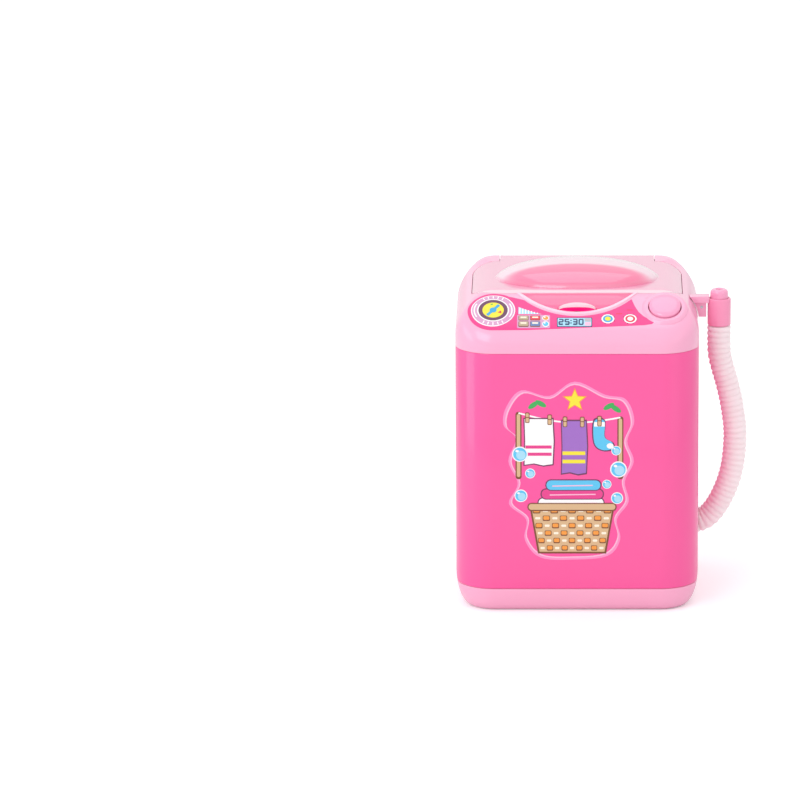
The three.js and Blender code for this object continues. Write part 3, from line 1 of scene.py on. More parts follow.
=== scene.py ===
import json
import math
import bpy
import bmesh
from mathutils import Matrix, Vector
from mathutils.geometry import delaunay_2d_cdt


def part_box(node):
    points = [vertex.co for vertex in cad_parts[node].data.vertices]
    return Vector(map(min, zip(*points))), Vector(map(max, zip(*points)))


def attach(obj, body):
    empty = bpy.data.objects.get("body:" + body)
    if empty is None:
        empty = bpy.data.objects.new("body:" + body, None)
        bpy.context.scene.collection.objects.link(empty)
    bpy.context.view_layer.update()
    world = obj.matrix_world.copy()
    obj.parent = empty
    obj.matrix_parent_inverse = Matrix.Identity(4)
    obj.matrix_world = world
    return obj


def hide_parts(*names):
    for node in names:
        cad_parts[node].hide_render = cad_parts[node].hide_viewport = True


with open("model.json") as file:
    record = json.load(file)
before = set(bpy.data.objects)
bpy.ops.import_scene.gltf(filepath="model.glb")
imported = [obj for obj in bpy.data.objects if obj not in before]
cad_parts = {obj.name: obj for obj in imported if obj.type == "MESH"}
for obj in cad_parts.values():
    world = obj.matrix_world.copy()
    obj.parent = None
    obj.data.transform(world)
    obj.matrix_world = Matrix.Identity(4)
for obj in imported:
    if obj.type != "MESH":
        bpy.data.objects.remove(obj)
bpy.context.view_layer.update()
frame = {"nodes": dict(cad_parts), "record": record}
nodes = frame["nodes"]
mm = 0.001
scene = bpy.context.scene
scene.view_settings.view_transform = "Standard"
print("stage: frame loaded")

# Camera: square to the front, a little above it, with the toy right of the middle

photoView = {
    "target": (0.0, -10.0, 70.0), "distance": 3000.0, "elevation": 14.9,
    "lens": 310.0, "sensor": 36.0, "shift": (-0.2214, 0.0429), "clip": (0.01, 20.0),
}


def aimAt(name, data, place, direction):
    thing = bpy.data.objects.new(name, data)
    scene.collection.objects.link(thing)
    thing.location = place
    thing.rotation_mode = "QUATERNION"
    thing.rotation_quaternion = direction.to_track_quat("-Z", "Y")
    return thing


def placeCamera():
    data = bpy.data.cameras.new("photoCamera")
    data.lens = photoView["lens"]
    data.sensor_width = photoView["sensor"]
    data.shift_x, data.shift_y = photoView["shift"]
    data.clip_start, data.clip_end = photoView["clip"]
    rise = math.radians(photoView["elevation"])
    back = Vector((0, -math.cos(rise), math.sin(rise)))
    place = (Vector(photoView["target"]) + back * photoView["distance"]) * mm
    scene.camera = aimAt("photoCamera", data, place, -back)


placeCamera()

# Node trees: a socket given as a value is linked, any other value is set on the node itself


def feed(tree, node, values):
    for key, value in values.items():
        if isinstance(value, bpy.types.NodeSocket):
            tree.links.new(value, node.inputs[key])
        else:
            node.inputs[key].default_value = value


def addNode(tree, kind, values=None, **settings):
    node = tree.nodes.new("ShaderNode" + kind)
    for key, value in settings.items():
        setattr(node, key, value)
    feed(tree, node, values or {})
    return node


def calc(tree, operation, *values):
    return addNode(tree, "Math", dict(enumerate(values)), operation=operation).outputs["Value"]


def blend(tree, factor, low, high):
    return addNode(tree, "Mix", {"Factor": factor, "A": low, "B": high}, data_type="RGBA").outputs["Result"]


# Materials: fine grain in the surface and a faint, broad change of tone

texture = {"detail": 2, "bumpDepth": 0.0002, "broadScale": 18}


def toLinear(hexColour):
    shares = [int(hexColour[i:i + 2], 16) / 255 for i in (0, 2, 4)]
    return (*[c / 12.92 if c <= 0.04045 else ((c + 0.055) / 1.055) ** 2.4 for c in shares], 1)


def makeMaterial(name, colour, roughness=0.35, grain=0.02, grainSize=900, mottle=0.015, **values):
    material = bpy.data.materials.new(name)
    material.use_nodes = True
    tree = material.node_tree
    place = addNode(tree, "TexCoord").outputs["Object"]
    fine = addNode(tree, "TexNoise", {
        "Scale": grainSize, "Detail": texture["detail"], "Vector": place,
    }).outputs["Fac"]
    bump = addNode(tree, "Bump", {"Strength": grain, "Distance": texture["bumpDepth"], "Height": fine})
    broad = addNode(tree, "TexNoise", {"Scale": texture["broadScale"], "Vector": place}).outputs["Fac"]
    tones = [(*[min(c * share, 1) for c in toLinear(colour)[:3]], 1) for share in (1 - mottle, 1 + mottle)]
    feed(tree, tree.nodes["Principled BSDF"], {
        "Roughness": roughness, **values, "Normal": bump.outputs["Normal"],
        "Base Color": blend(tree, broad, *tones),
    })
    return material


gloss = {"Coat Weight": 0.6, "Coat Roughness": 0.08}
hotPink = makeMaterial("hotPink", "f7509c", 0.33, **gloss)
palePink = makeMaterial("palePink", "f9accd", 0.34, **gloss)
# Painted highlight: a paler pink laid on the proud faces of the mouth's bead
rimHighlight = makeMaterial("rimHighlight", "ffcadf", 0.2, **gloss)
buttonPink = makeMaterial("buttonPink", "f9a2c7", 0.22, **gloss)
midPink = makeMaterial("midPink", "f994bb", 0.36, **gloss)
lidPink = makeMaterial("lidPink", "ffadcd", 0.12, **{
    "Alpha": 0.88, "IOR": 1.5, "Coat Weight": 1.0, "Coat Roughness": 0.05,
})
# Painted glow: hot pink with its own light, standing in for the lit tub seen through the finger hood's gap
lipGlow = makeMaterial("lipGlow", "f01c86", 0.4, **{
    "Emission Color": toLinear("f01c86"), "Emission Strength": 0.45,
})
tubPink = makeMaterial("tubPink", "f0308a", 0.38)
# The hose also glows faintly pink: painted light that lifts it where the lamps leave it grey
hoseMilkyGlow = makeMaterial("hoseMilkyGlow", "fce8ec", 0.42, **{
    "Subsurface Weight": 0.7, "Subsurface Scale": 0.003, "Subsurface Radius": (1, 0.9, 0.9),
    "Emission Color": toLinear("ff9fb0"), "Emission Strength": 0.06,
})
whitePlastic = makeMaterial("whitePlastic", "eeeeec", 0.4)
ivoryPlastic = makeMaterial("ivoryPlastic", "ebe4d4", 0.45)
blackPlastic = makeMaterial("blackPlastic", "26262a", 0.5)
blackRubber = makeMaterial("blackRubber", "1e1e20", 0.7, 0.1)
steelPlain = makeMaterial("steelPlain", "b9bcc2", 0.3, 0.03, 1400, **{"Metallic": 1.0})
cellJacket = makeMaterial("cellJacket", "3b6fb5", 0.3, **{"Metallic": 0.2})

slotMaterials = {
    "hot_pink": hotPink, "pale_pink": palePink, "mid_pink": midPink, "lid_pink": lidPink,
    "tub_pink": tubPink, "hose_clear": hoseMilkyGlow, "white_plastic": whitePlastic,
    "ivory_plastic": ivoryPlastic, "black_plastic": blackPlastic, "black_rubber": blackRubber,
    "steel": steelPlain, "cell_jacket": cellJacket,
}
for part in frame["record"]["subparts"]:
    mesh = nodes[part["node"]].data
    mesh.materials.clear()
    mesh.materials.append(slotMaterials[part["material_slot"]])
print("stage: materials")

# Mesh helpers. Shapes are drawn in millimetres and turned to metres when they become objects.
# The first weld is made in millimetres, the second one and the slivers' in metres.

finish = {
    "weldDrawn": 0.0005, "weldCut": 0.00002, "sliver": 0.00001,
    "sharp": 32, "bevelFrom": 40, "bevelSegments": 2,
}


def shade(mesh, sharp):
    mesh.polygons.foreach_set("use_smooth", [True] * len(mesh.polygons))
    mesh.set_sharp_from_angle(angle=math.radians(sharp))


def newPiece(name, bm, materials=(), sharp=finish["sharp"]):
    bmesh.ops.remove_doubles(bm, verts=bm.verts, dist=finish["weldDrawn"])
    bmesh.ops.recalc_face_normals(bm, faces=bm.faces)
    bmesh.ops.scale(bm, vec=(mm, mm, mm), verts=bm.verts)
    mesh = bpy.data.meshes.new(name)
    bm.to_mesh(mesh)
    bm.free()
    shade(mesh, sharp)
    for material in materials:
        mesh.materials.append(material)
    piece = bpy.data.objects.new(name, mesh)
    scene.collection.objects.link(piece)
    return piece


def settle(piece, body, slotName, *replaced):
    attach(piece, body)
    if replaced:
        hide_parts(*replaced)


def applyModifier(piece):
    graph = bpy.context.evaluated_depsgraph_get()
    mesh = bpy.data.meshes.new_from_object(piece.evaluated_get(graph))
    piece.modifiers.clear()
    old = piece.data
    piece.data = mesh
    bpy.data.meshes.remove(old)


def combine(operation, piece, others):
    for other in others:
        step = piece.modifiers.new("combine", "BOOLEAN")
        step.operation = operation
        step.solver = "MANIFOLD"
        step.object = other
        applyModifier(piece)
        bpy.data.objects.remove(other)


def cut(piece, *others):
    combine("DIFFERENCE", piece, others)


def join(piece, *others):
    combine("UNION", piece, others)


def keep(piece, *others):
    combine("INTERSECT", piece, others)


def finishEdges(piece, material, width=0.0):
    mesh = piece.data
    mesh.materials.clear()
    mesh.materials.append(material)
    mesh.polygons.foreach_set("material_index", [0] * len(mesh.polygons))
    bm = bmesh.new()
    bm.from_mesh(mesh)
    bmesh.ops.remove_doubles(bm, verts=bm.verts, dist=finish["weldCut"])
    bmesh.ops.dissolve_degenerate(bm, edges=bm.edges, dist=finish["sliver"])
    bm.to_mesh(mesh)
    bm.free()
    if width:
        bevel = piece.modifiers.new("soften", "BEVEL")
        bevel.width = width * mm
        bevel.segments = finish["bevelSegments"]
        bevel.limit_method = "ANGLE"
        bevel.angle_limit = math.radians(finish["bevelFrom"])
        applyModifier(piece)
    shade(piece.data, finish["sharp"])


def paintFaces(piece, material, isChosen):
    piece.data.materials.append(material)
    for face in piece.data.polygons:
        if isChosen(face.center / mm):
            face.material_index = 1


def loft(bm, rings, caps=True):
    made = [[bm.verts.new(point) for point in ring] for ring in rings]
    for low, high in zip(made, made[1:]):
        for step in range(len(low)):
            after = (step + 1) % len(low)
            bm.faces.new((low[step], low[after], high[after], high[step]))
    if caps:
        bm.faces.new(list(reversed(made[0])))
        bm.faces.new(made[-1])


def lathe(name, profile, sides, turn, materials=(), sharp=finish["sharp"]):
    bm = bmesh.new()
    rings = [[(*point, z) for point in circle(radius, sides)] for radius, z in profile]
    loft(bm, rings, caps=False)
    bmesh.ops.transform(bm, matrix=turn, verts=bm.verts)
    return newPiece(name, bm, materials, sharp)


def prism(name, outline, low, high, turn=Matrix()):
    bm = bmesh.new()
    loft(bm, [[(x, y, z) for x, y in outline] for z in (low, high)])
    bmesh.ops.transform(bm, matrix=turn, verts=bm.verts)
    return newPiece(name, bm)


def block(name, left, right, front, rear, low, high):
    return prism(name, [(left, front), (right, front), (right, rear), (left, rear)], low, high)


def ellipse(halfWidth, halfDepth, x, y, count):
    angles = [2 * math.pi * k / count for k in range(count)]
    return [(x + halfWidth * math.cos(a), y + halfDepth * math.sin(a)) for a in angles]


def circle(radius, count, x=0.0, y=0.0):
    return ellipse(radius, radius, x, y, count)


def roundedRect(left, right, front, rear, radius, steps):
    points = []
    middles = ((right - radius, front + radius, -90), (right - radius, rear - radius, 0),
               (left + radius, rear - radius, 90), (left + radius, front + radius, 180))
    for x, y, start in middles:
        for k in range(steps + 1):
            angle = math.radians(start + 90 * k / steps)
            points.append((x + radius * math.cos(angle), y + radius * math.sin(angle)))
    return points


def quarterTurn(steps):
    return [math.pi / 2 * k / steps for k in range(steps + 1)]


def shifted(x, y, z=0.0):
    return Matrix.Translation((x, y, z))


# Sizes of the housing, as in the frame, in millimetres

housing = {
    "width": 105.0, "depth": 95.0, "top": 137.7, "corner": 17.0, "wall": 2.0,
    "base": 10.6, "shellTop": 115.5, "footInset": 6.5, "footRise": 16.0,
    "shoulder": 17.0, "rearEdge": 6.0, "frontEdge": 6.0, "creaseBack": 22.5, "creaseBlend": 3.0,
    "slope": 30.5, "gap": 0.3, "seam": 0.1, "soft": 0.35,
}
front = -housing["depth"] / 2
slope = math.radians(housing["slope"])
crease = front + housing["creaseBack"]
cornerX, cornerY = [housing[key] / 2 - housing["corner"] for key in ("width", "depth")]
mouth = {"halfWidth": 32.2, "halfDepth": 29.5, "y": front + 39.5, "bead": 1.1, "proud": 0.5}

# Drain hose: the same chosen points as in the frame, in X and Z

hose = {
    "radius": 5.15, "bore": 3.75, "pitch": 2.4, "groove": 0.5, "sides": 40, "hole": 5.8,
    "outlet": (52.6, 30.8), "outletDegrees": 18.0, "outletRun": 12.0,
    "top": (61.6, 118.6), "topRun": 7.725,
    "standoffs": [2.5, 4.9, 7.7, 10, 12.2, 14.1, 15.4, 16.1, 16.3, 15.6, 14.4, 12.8, 10.9, 9.4],
    "rises": [0.009, 0.028, 0.066, 0.11, 0.164, 0.228, 0.298, 0.376, 0.458, 0.54, 0.622, 0.703, 0.78, 0.85],
    "routeSteps": 24, "boreRings": 60, "pathPoints": 40,
    "ribShares": [0.0, 0.12, 0.26, 0.42, 0.58, 0.74, 0.88],
}
hoseOutlet = Vector((hose["outlet"][0], mouth["y"], hose["outlet"][1]))


def catmullRom(points, steps):
    ends = [points[0] * 2 - points[1]] + points + [points[-1] * 2 - points[-2]]
    line = []
    for a, b, c, d in zip(ends, ends[1:], ends[2:], ends[3:]):
        ta, tb, tc = [max((far - near).length ** 0.5, 1e-6) for near, far in ((a, b), (b, c), (c, d))]
        slopeB = ((b - a) / ta - (c - a) / (ta + tb) + (c - b) / tb) * tb
        slopeC = ((c - b) / tb - (d - b) / (tb + tc) + (d - c) / tc) * tb
        for k in range(steps):
            t = k / steps
            line.append(
                b * (2 * t ** 3 - 3 * t ** 2 + 1) + slopeB * (t ** 3 - 2 * t ** 2 + t)
                + c * (3 * t ** 2 - 2 * t ** 3) + slopeC * (t ** 3 - t ** 2)
            )
    line.append(points[-1])
    return line


def hoseRoute():
    turn = math.radians(hose["outletDegrees"])
    inward = Vector((math.cos(turn), 0, math.sin(turn))) * -hose["outletRun"]
    top = Vector((hose["top"][0], mouth["y"], hose["top"][1]))
    route = [hoseOutlet + inward, hoseOutlet + inward / 2, hoseOutlet]
    route += [Vector((housing["width"] / 2 + out, mouth["y"], hoseOutlet.z + (top.z - hoseOutlet.z) * rise))
              for out, rise in zip(hose["standoffs"], hose["rises"])]
    route += [top - Vector((0, 0, hose["topRun"])), top]
    return catmullRom(route, hose["routeSteps"])


def makeHose():
    fine = hoseRoute()
    travelled = [0.0]
    for a, b in zip(fine, fine[1:]):
        travelled.append(travelled[-1] + (b - a).length)
    length = travelled[-1]
    rearward = Vector((0, 1, 0))

    def at(distance):
        distance = min(max(distance, 0.0), length)
        k = next(k for k in range(1, len(fine)) if travelled[k] >= distance)
        share = (distance - travelled[k - 1]) / max(travelled[k] - travelled[k - 1], 1e-9)
        return fine[k - 1].lerp(fine[k], share), (fine[k] - fine[k - 1]).normalized()

    def ring(distance, radius):
        centre, along = at(distance)
        across = rearward.cross(along).normalized()
        return [centre + across * x + rearward * y for x, y in circle(radius, hose["sides"])]

    ribs = round(length / hose["pitch"])
    outer, groove = hose["radius"], hose["groove"]
    rings = [ring((rib + share) * length / ribs, outer - groove * (1 - math.sin(math.pi * share)))
             for rib in range(ribs) for share in hose["ribShares"]]
    rings.append(ring(length, outer - groove))
    inner = [ring(length * k / hose["boreRings"], hose["bore"]) for k in range(hose["boreRings"], -1, -1)]
    bm = bmesh.new()
    loft(bm, rings + inner + rings[:1], caps=False)
    piece = newPiece("ribbedHose", bm, [hoseMilkyGlow], 60)
    settle(piece, "housing", "hose_clear", "drain_hose")
    print("hose", round(length, 1), "mm,", ribs, "ribs")


makeHose()
print("stage: hose")

# Base tray and body tube

shell = {"cornerSteps": 20, "baseLevels": 16, "bodyLevels": 6, "softShare": 0.3}
screwWell = {"radius": 2.5, "reach": 7 * math.sqrt(0.5), "rise": 4.0}
door = {"gap": 0.4, "tongue": 5.5, "tongueHigh": 7.0, "corner": 4.0, "cutRear": -49.0, "cutFront": -43.0}


def planRing(inset, height):
    x, y = housing["width"] / 2 - inset, housing["depth"] / 2 - inset
    outline = roundedRect(-x, x, -y, y, housing["corner"] - inset, shell["cornerSteps"])
    return [(*point, height) for point in outline]


def footInsetAt(height):
    rise = housing["footRise"]
    if height >= rise:
        return 0.0
    return housing["footInset"] * (1 - math.sqrt(1 - ((rise - height) / rise) ** 2))


def wallRing(height, inset=0.0):
    return planRing(footInsetAt(height) + inset, height)


def softRim(edge, up):
    # Three rings that round the wall off towards this height
    soft = housing["soft"]
    near = soft * shell["softShare"]
    inset = footInsetAt(edge)
    return [wallRing(edge - up * soft), planRing(inset + near, edge - up * near), planRing(inset + soft, edge)]


def makeBase():
    top, wall = housing["base"], housing["wall"]
    count = shell["baseLevels"]
    levels = [top * (k / count) ** 1.6 for k in range(count + 1)]
    rings = [wallRing(z) for z in levels[:-1]] + softRim(top, 1)
    rings += [wallRing(z, wall) for z in reversed(levels) if z > wall] + [wallRing(wall, wall + 1)]
    bm = bmesh.new()
    loft(bm, rings)
    piece = newPiece("baseTray", bm)
    reach = screwWell["reach"]
    for signX, signY in ((1, 1), (-1, 1), (-1, -1), (1, -1)):
        outline = circle(screwWell["radius"], 32, signX * (cornerX + reach), signY * (cornerY + reach))
        cut(piece, prism("well", outline, -1, wall + screwWell["rise"]))
    finishEdges(piece, palePink)
    settle(piece, "housing", "pale_pink", "base_cover")


def doorWindow():
    low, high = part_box("battery_door")
    gap, corner = door["gap"], door["corner"]
    half, foot = high.x / mm + gap, low.z / mm - gap
    crown = high.z / mm + gap
    shoulder = crown - door["tongueHigh"]
    tongue = door["tongue"] + gap
    right = [(half, foot), (half, shoulder), (tongue, shoulder)]
    right += [(tongue - corner + corner * math.cos(a), crown - corner + corner * math.sin(a))
              for a in quarterTurn(8)]
    outline = right + [(-x, z) for x, z in reversed(right)]
    upright = Matrix(((1, 0, 0, 0), (0, 0, -1, 0), (0, 1, 0, 0), (0, 0, 0, 1)))
    return prism("doorWindow", outline, door["cutRear"], door["cutFront"], upright)


def makeBody():
    low = housing["base"] + housing["seam"]
    high, wall, count = housing["shellTop"], housing["wall"], shell["bodyLevels"]
    rings = softRim(low, -1)[::-1]
    rings += [wallRing(low + (housing["footRise"] - low) * k / count) for k in range(1, count + 1)]
    rings += softRim(high, 1)
    inner = [wallRing(z, wall) for z in (high, housing["footRise"], low)]
    bm = bmesh.new()
    loft(bm, rings + inner + rings[:1], caps=False)
    piece = newPiece("bodyTube", bm)
    lean = math.pi / 2 - math.radians(hose["outletDegrees"])
    aim = shifted(*hoseOutlet) @ Matrix.Rotation(lean, 4, "Y")
    cut(piece, prism("hoseHole", circle(hose["hole"], 48), -6, 6, aim), doorWindow())
    finishEdges(piece, hotPink)
    settle(piece, "housing", "hot_pink", "body_shell")


makeBase()
makeBody()
print("stage: base and body")

# Top cover and lid share one soft surface


def fallAtEdge(inward, radius):
    if inward >= radius:
        return 0.0
    return radius - math.sqrt(max(radius ** 2 - (radius - max(inward, 0.0)) ** 2, 0.0))


def softMin(a, b, blendWidth):
    share = max(blendWidth - abs(a - b), 0) / blendWidth
    return min(a, b) - share ** 2 * blendWidth / 4


def slopeHeight(y):
    return housing["top"] + (y - crease) * math.tan(slope)


def coverHeight(x, y, inset=0.0):
    radius = housing["corner"] - inset
    overX, overY = abs(x) - cornerX, abs(y) - cornerY
    inward = radius - max(overX, overY)
    sideShare = 1.0 if overX > overY else 0.0
    if overX > 0 and overY > 0:
        reach = math.hypot(overX, overY)
        inward = radius - reach
        sideShare = (overX / reach) ** 2
    edge = sideShare * housing["shoulder"] + (1 - sideShare) * housing["rearEdge"] - inset
    top = housing["top"] - inset - fallAtEdge(inward, edge)
    face = slopeHeight(y) - inset / math.cos(slope) - fallAtEdge(inward, housing["frontEdge"] - inset)
    return softMin(top, face, housing["creaseBlend"])


coverMesh = {"turns": 26, "columns": 8, "bend": 3, "steps": (1.5, 0.6, 3)}


def spaced(start, end, step):
    count = max(math.ceil((end - start) / step), 1)
    return [start + (end - start) * k / count for k in range(count)]


def coverForm(name, inset, bottom):
    radius = housing["corner"] - inset
    halfWidth, halfDepth = cornerX + radius, cornerY + radius
    turns = [1 - math.cos(angle) for angle in quarterTurn(coverMesh["turns"])]
    ends = [halfDepth - share * radius for share in turns]
    stops = (-ends[-1], crease - coverMesh["bend"], crease + coverMesh["bend"], ends[-1])
    inside = [y for run in zip(stops, stops[1:], coverMesh["steps"]) for y in spaced(*run)]
    rows = [-y for y in ends] + inside[1:] + ends[::-1]
    half = [1 - share * radius / halfWidth for share in turns]
    flat = coverMesh["columns"]
    half += [half[-1] * k / flat for k in range(flat - 1, 0, -1)]
    columns = [-share for share in half] + [0.0] + half[::-1]
    bm = bmesh.new()
    grid = []
    for y in rows:
        over = max(abs(y) - cornerY, 0)
        reach = cornerX + math.sqrt(max(radius ** 2 - over ** 2, 0))
        grid.append([bm.verts.new((reach * s, y, coverHeight(reach * s, y, inset))) for s in columns])
    for near, far in zip(grid, grid[1:]):
        for k in range(len(near) - 1):
            bm.faces.new((near[k], near[k + 1], far[k + 1], far[k]))
    rim = grid[0] + [row[-1] for row in grid[1:]] + grid[-1][-2::-1] + [row[0] for row in grid[-2:0:-1]]
    floor = [bm.verts.new((v.co.x, v.co.y, bottom)) for v in rim]
    for k in range(len(rim)):
        after = (k + 1) % len(rim)
        bm.faces.new((rim[k], floor[k], floor[after], rim[after]))
    bm.faces.new(floor[::-1])
    return newPiece(name, bm)


# Cutters reach past the cover by these limits. Around the mouth and well: margin or radius, low, high.

past = {"side": 60.0, "low": 110.0, "high": 160.0}
cover = {
    "hollowLow": 112.0, "deepLow": 111.9, "hingeRoom": 0.4, "trough": 4.9, "troughTop": 2.9, "bevel": 0.22,
    "collar": (1.6, 117.1, 136.2), "collarInset": 1.0, "bead": (0, 117.0, 145.0), "beadFloor": 116.0,
    "hole": (-mouth["bead"], 100.0, 150.0), "well": (7.2, -7.5, 6.0), "beadHighlightReach": 1.01, "highlightLift": 0.2,
    "surround": [(0, -6), (8.4, -6), (8.4, -1.2), (10.1, -1), (9.9, 0), (9.5, 0.35), (8.9, 0.85),
                 (8.4, 1.0), (7.5, 1.0), (0, 1.0)],
}
lid = {
    "thickness": 1.6, "gap": 0.5, "halfWidth": 45.4, "corner": 11.0, "back": front + 78.5, "reach": 15.0,
    "tab": 33.8, "hingeY": front + 90.5, "hingeZ": housing["top"] - 3.2,
    "barrel": 2.6, "pin": 1.2, "pinLength": 2.4, "bevel": 0.2,
    "bubbleY": front + 49.0, "bubble": (35.8, 21.5, 8.2), "bubbleSink": 0.3,
    "ridge": 25.5, "ridgeRadius": 0.55, "ridgeBack": 0.2, "ridgeSink": 0.15,
    "panelLow": 118.0, "outlineLow": 116.0, "flap": (116.5, 152.0), "flapBack": 9.0,
    "lip": (9.2, 5.2, 3.0), "lipEdge": (116.0, 152.0), "lipSkin": 1.1, "lipGlowReach": 1.02,
}
button = {
    "x": 37.7, "y": front + 13.5, "radius": 6.8, "wall": 1.3, "proud": 1.7, "dome": 1.6, "skirt": 4.5,
    "crownSkin": 1.0, "shoulder": 0.4, "fullness": 0.9,
}


def slopeFrame(x, y):
    return shifted(x, y, slopeHeight(y)) @ Matrix.Rotation(slope, 4, "X")


buttonFrame = slopeFrame(button["x"], button["y"])


def lidOutline(name, margin, rear, low):
    wide = roundedRect(-lid["halfWidth"] - margin, lid["halfWidth"] + margin, crease - margin,
                       lid["back"] + margin, lid["corner"] + margin, 12)
    high = housing["top"] + lid["reach"]
    piece = prism(name, wide, low, high)
    half = lid["tab"] + margin
    join(piece, block("tab", -half, half, lid["back"] - lid["reach"], rear, low - 0.01, high + 0.01))
    return piece


def mouthPrism(name, margin, low, high):
    outline = ellipse(mouth["halfWidth"] + margin, mouth["halfDepth"] + margin, 0, mouth["y"], 128)
    return prism(name, outline, low, high)


def barAcross(name, radius, half, y=lid["hingeY"], z=lid["hingeZ"], sides=40):
    turn = shifted(0, y, z) @ Matrix.Rotation(math.pi / 2, 4, "Y")
    return prism(name, circle(radius, sides), -half, half, turn)


def isRimHighlight(place):
    out = math.hypot(place.x / mouth["halfWidth"], (place.y - mouth["y"]) / mouth["halfDepth"])
    proud = place.z > coverHeight(place.x, place.y) + cover["highlightLift"]
    return out < cover["beadHighlightReach"] and proud and place.y < crease


def makeCover():
    gap, wall, room = housing["gap"], housing["wall"], cover["hingeRoom"]
    tab, hingeY, hingeZ = lid["tab"], lid["hingeY"], lid["hingeZ"]
    bed = lid["thickness"] + gap
    bedFoot = hingeZ - lid["barrel"] - room
    piece = coverForm("coverShell", 0, housing["shellTop"] + housing["seam"])
    hollow = coverForm("hollow", wall, cover["hollowLow"])
    cut(hollow, lidOutline("zoneWall", gap + wall, past["side"], bedFoot - wall))
    cut(piece, hollow, coverForm("deepHollow", bed + wall, cover["deepLow"]))
    collar = mouthPrism("collar", *cover["collar"])
    keep(collar, coverForm("collarTop", cover["collarInset"], past["low"]))
    bead = mouthPrism("bead", *cover["bead"])
    keep(bead, coverForm("beadTop", -mouth["proud"], cover["beadFloor"]))
    trough = block("trough", -tab - wall, tab + wall, hingeY - cover["trough"], -front - 1,
                   hingeZ - cover["trough"], housing["top"] - cover["troughTop"])
    join(piece, collar, lathe("surround", cover["surround"], 72, buttonFrame), bead, trough)
    zone = lidOutline("zone", gap, past["side"], bedFoot)
    cut(zone, coverForm("bed", bed, past["low"]))
    pocket = barAcross("barrelPocket", lid["barrel"] + room, tab + gap)
    window = block("barrelWindow", -tab - gap, tab + gap, hingeY, past["side"], bedFoot, past["high"])
    radius, *span = cover["well"]
    well = prism("well", circle(radius, 64), *span, buttonFrame)
    cut(piece, zone, mouthPrism("mouthHole", *cover["hole"]), pocket, window, well)
    finishEdges(piece, palePink, cover["bevel"])
    # The mouth's bead is painted paler: a painted highlight along it
    paintFaces(piece, rimHighlight, isRimHighlight)
    settle(piece, "housing", "pale_pink", "top_cover")


def halfEgg(name, halfWidth, halfDepth, height, level):
    profile = [(0, 0)] + [(math.cos(a), math.sin(a)) for a in quarterTurn(24)[:-1]] + [(0, 1)]
    size = Matrix.Diagonal((halfWidth, halfDepth, height, 1))
    return lathe(name, profile, 96, shifted(0, lid["bubbleY"], level) @ size)


hoodY = mouth["y"] - mouth["halfDepth"] + mouth["bead"] + lid["gap"]


def hoodFrame(shrink):
    return slopeFrame(0, hoodY) @ Matrix.Diagonal((*[reach - shrink for reach in lid["lip"]], 1))


def hood(name, shrink):
    bm = bmesh.new()
    bmesh.ops.create_uvsphere(bm, u_segments=56, v_segments=28, radius=1)
    bmesh.ops.transform(bm, matrix=hoodFrame(shrink), verts=bm.verts)
    return newPiece(name, bm)


# The lid is painted pinker where the tub lies close behind it: the front of the bubble and the flap. The crown
# colour is a painted highlight on the bubble's crown and the hood's arch, and is also laid on the strip along
# the crease.

tint = {
    "colour": "ff4a90", "crown": "ffe0ec", "bubbleShare": 0.74, "flapShare": 0.89,
    "bubble": (33.0, 7.6), "y": -12.6, "rise": 4.5, "bubbleFade": (0.6, 1.2),
    "lip": (8.2, 4.3), "lipFade": (0.8, 1.1), "domeFade": (0.9, 1.02),
    "flapFade": (-0.6, 0.0), "flapLowFade": (-8.0, -6.4), "stripFade": (2.4, 4.2),
}


def tintLid():
    tree = lidPink.node_tree
    shader = tree.nodes["Principled BSDF"]
    place = addNode(tree, "TexCoord").outputs["Object"]
    x, y = addNode(tree, "SeparateXYZ", {"Vector": place}).outputs[:2]

    def fade(value, start, end):
        return addNode(tree, "MapRange", {
            "Value": value, "From Min": start, "From Max": end, "To Min": 1, "To Max": 0,
        }, interpolation_type="SMOOTHSTEP").outputs["Result"]

    def fadeBack(key):
        start, end = tint[key]
        return fade(y, (crease + start) * mm, (crease + end) * mm)

    def squared(value):
        return calc(tree, "MULTIPLY", value, value)

    def fadeOval(key, centre, halfWidth, halfDepth):
        across = squared(calc(tree, "DIVIDE", x, halfWidth * mm))
        along = calc(tree, "DIVIDE", calc(tree, "SUBTRACT", y, centre), halfDepth * mm)
        return fade(calc(tree, "MULTIPLY_ADD", along, along, across), *tint[key])

    bow = squared(calc(tree, "DIVIDE", x, tint["bubble"][0] * mm))
    centre = calc(tree, "MULTIPLY_ADD", bow, tint["rise"] * mm, tint["y"] * mm)
    bubble = fadeOval("bubbleFade", centre, *tint["bubble"])
    lip = fadeOval("lipFade", hoodY * mm, *tint["lip"])
    dome = fadeOval("domeFade", lid["bubbleY"] * mm, *lid["bubble"][:2])
    low = calc(tree, "MULTIPLY", fadeBack("flapLowFade"), 1 - tint["flapShare"])
    flap = calc(tree, "MULTIPLY_ADD", fadeBack("flapFade"), tint["flapShare"], low)
    flap = calc(tree, "MULTIPLY", flap, calc(tree, "SUBTRACT", 1, lip))
    # Painted highlight: the crown colour on the bubble, the hood's arch and the strip along the crease
    highlightMask = calc(tree, "MAXIMUM", calc(tree, "MAXIMUM", dome, fadeBack("stripFade")), lip)
    pink = calc(tree, "MAXIMUM", calc(tree, "MULTIPLY", bubble, tint["bubbleShare"]), flap)
    plain = shader.inputs["Base Color"].links[0].from_socket
    colour = blend(tree, pink, blend(tree, highlightMask, plain, toLinear(tint["crown"])), toLinear(tint["colour"]))
    feed(tree, shader, {"Base Color": colour})


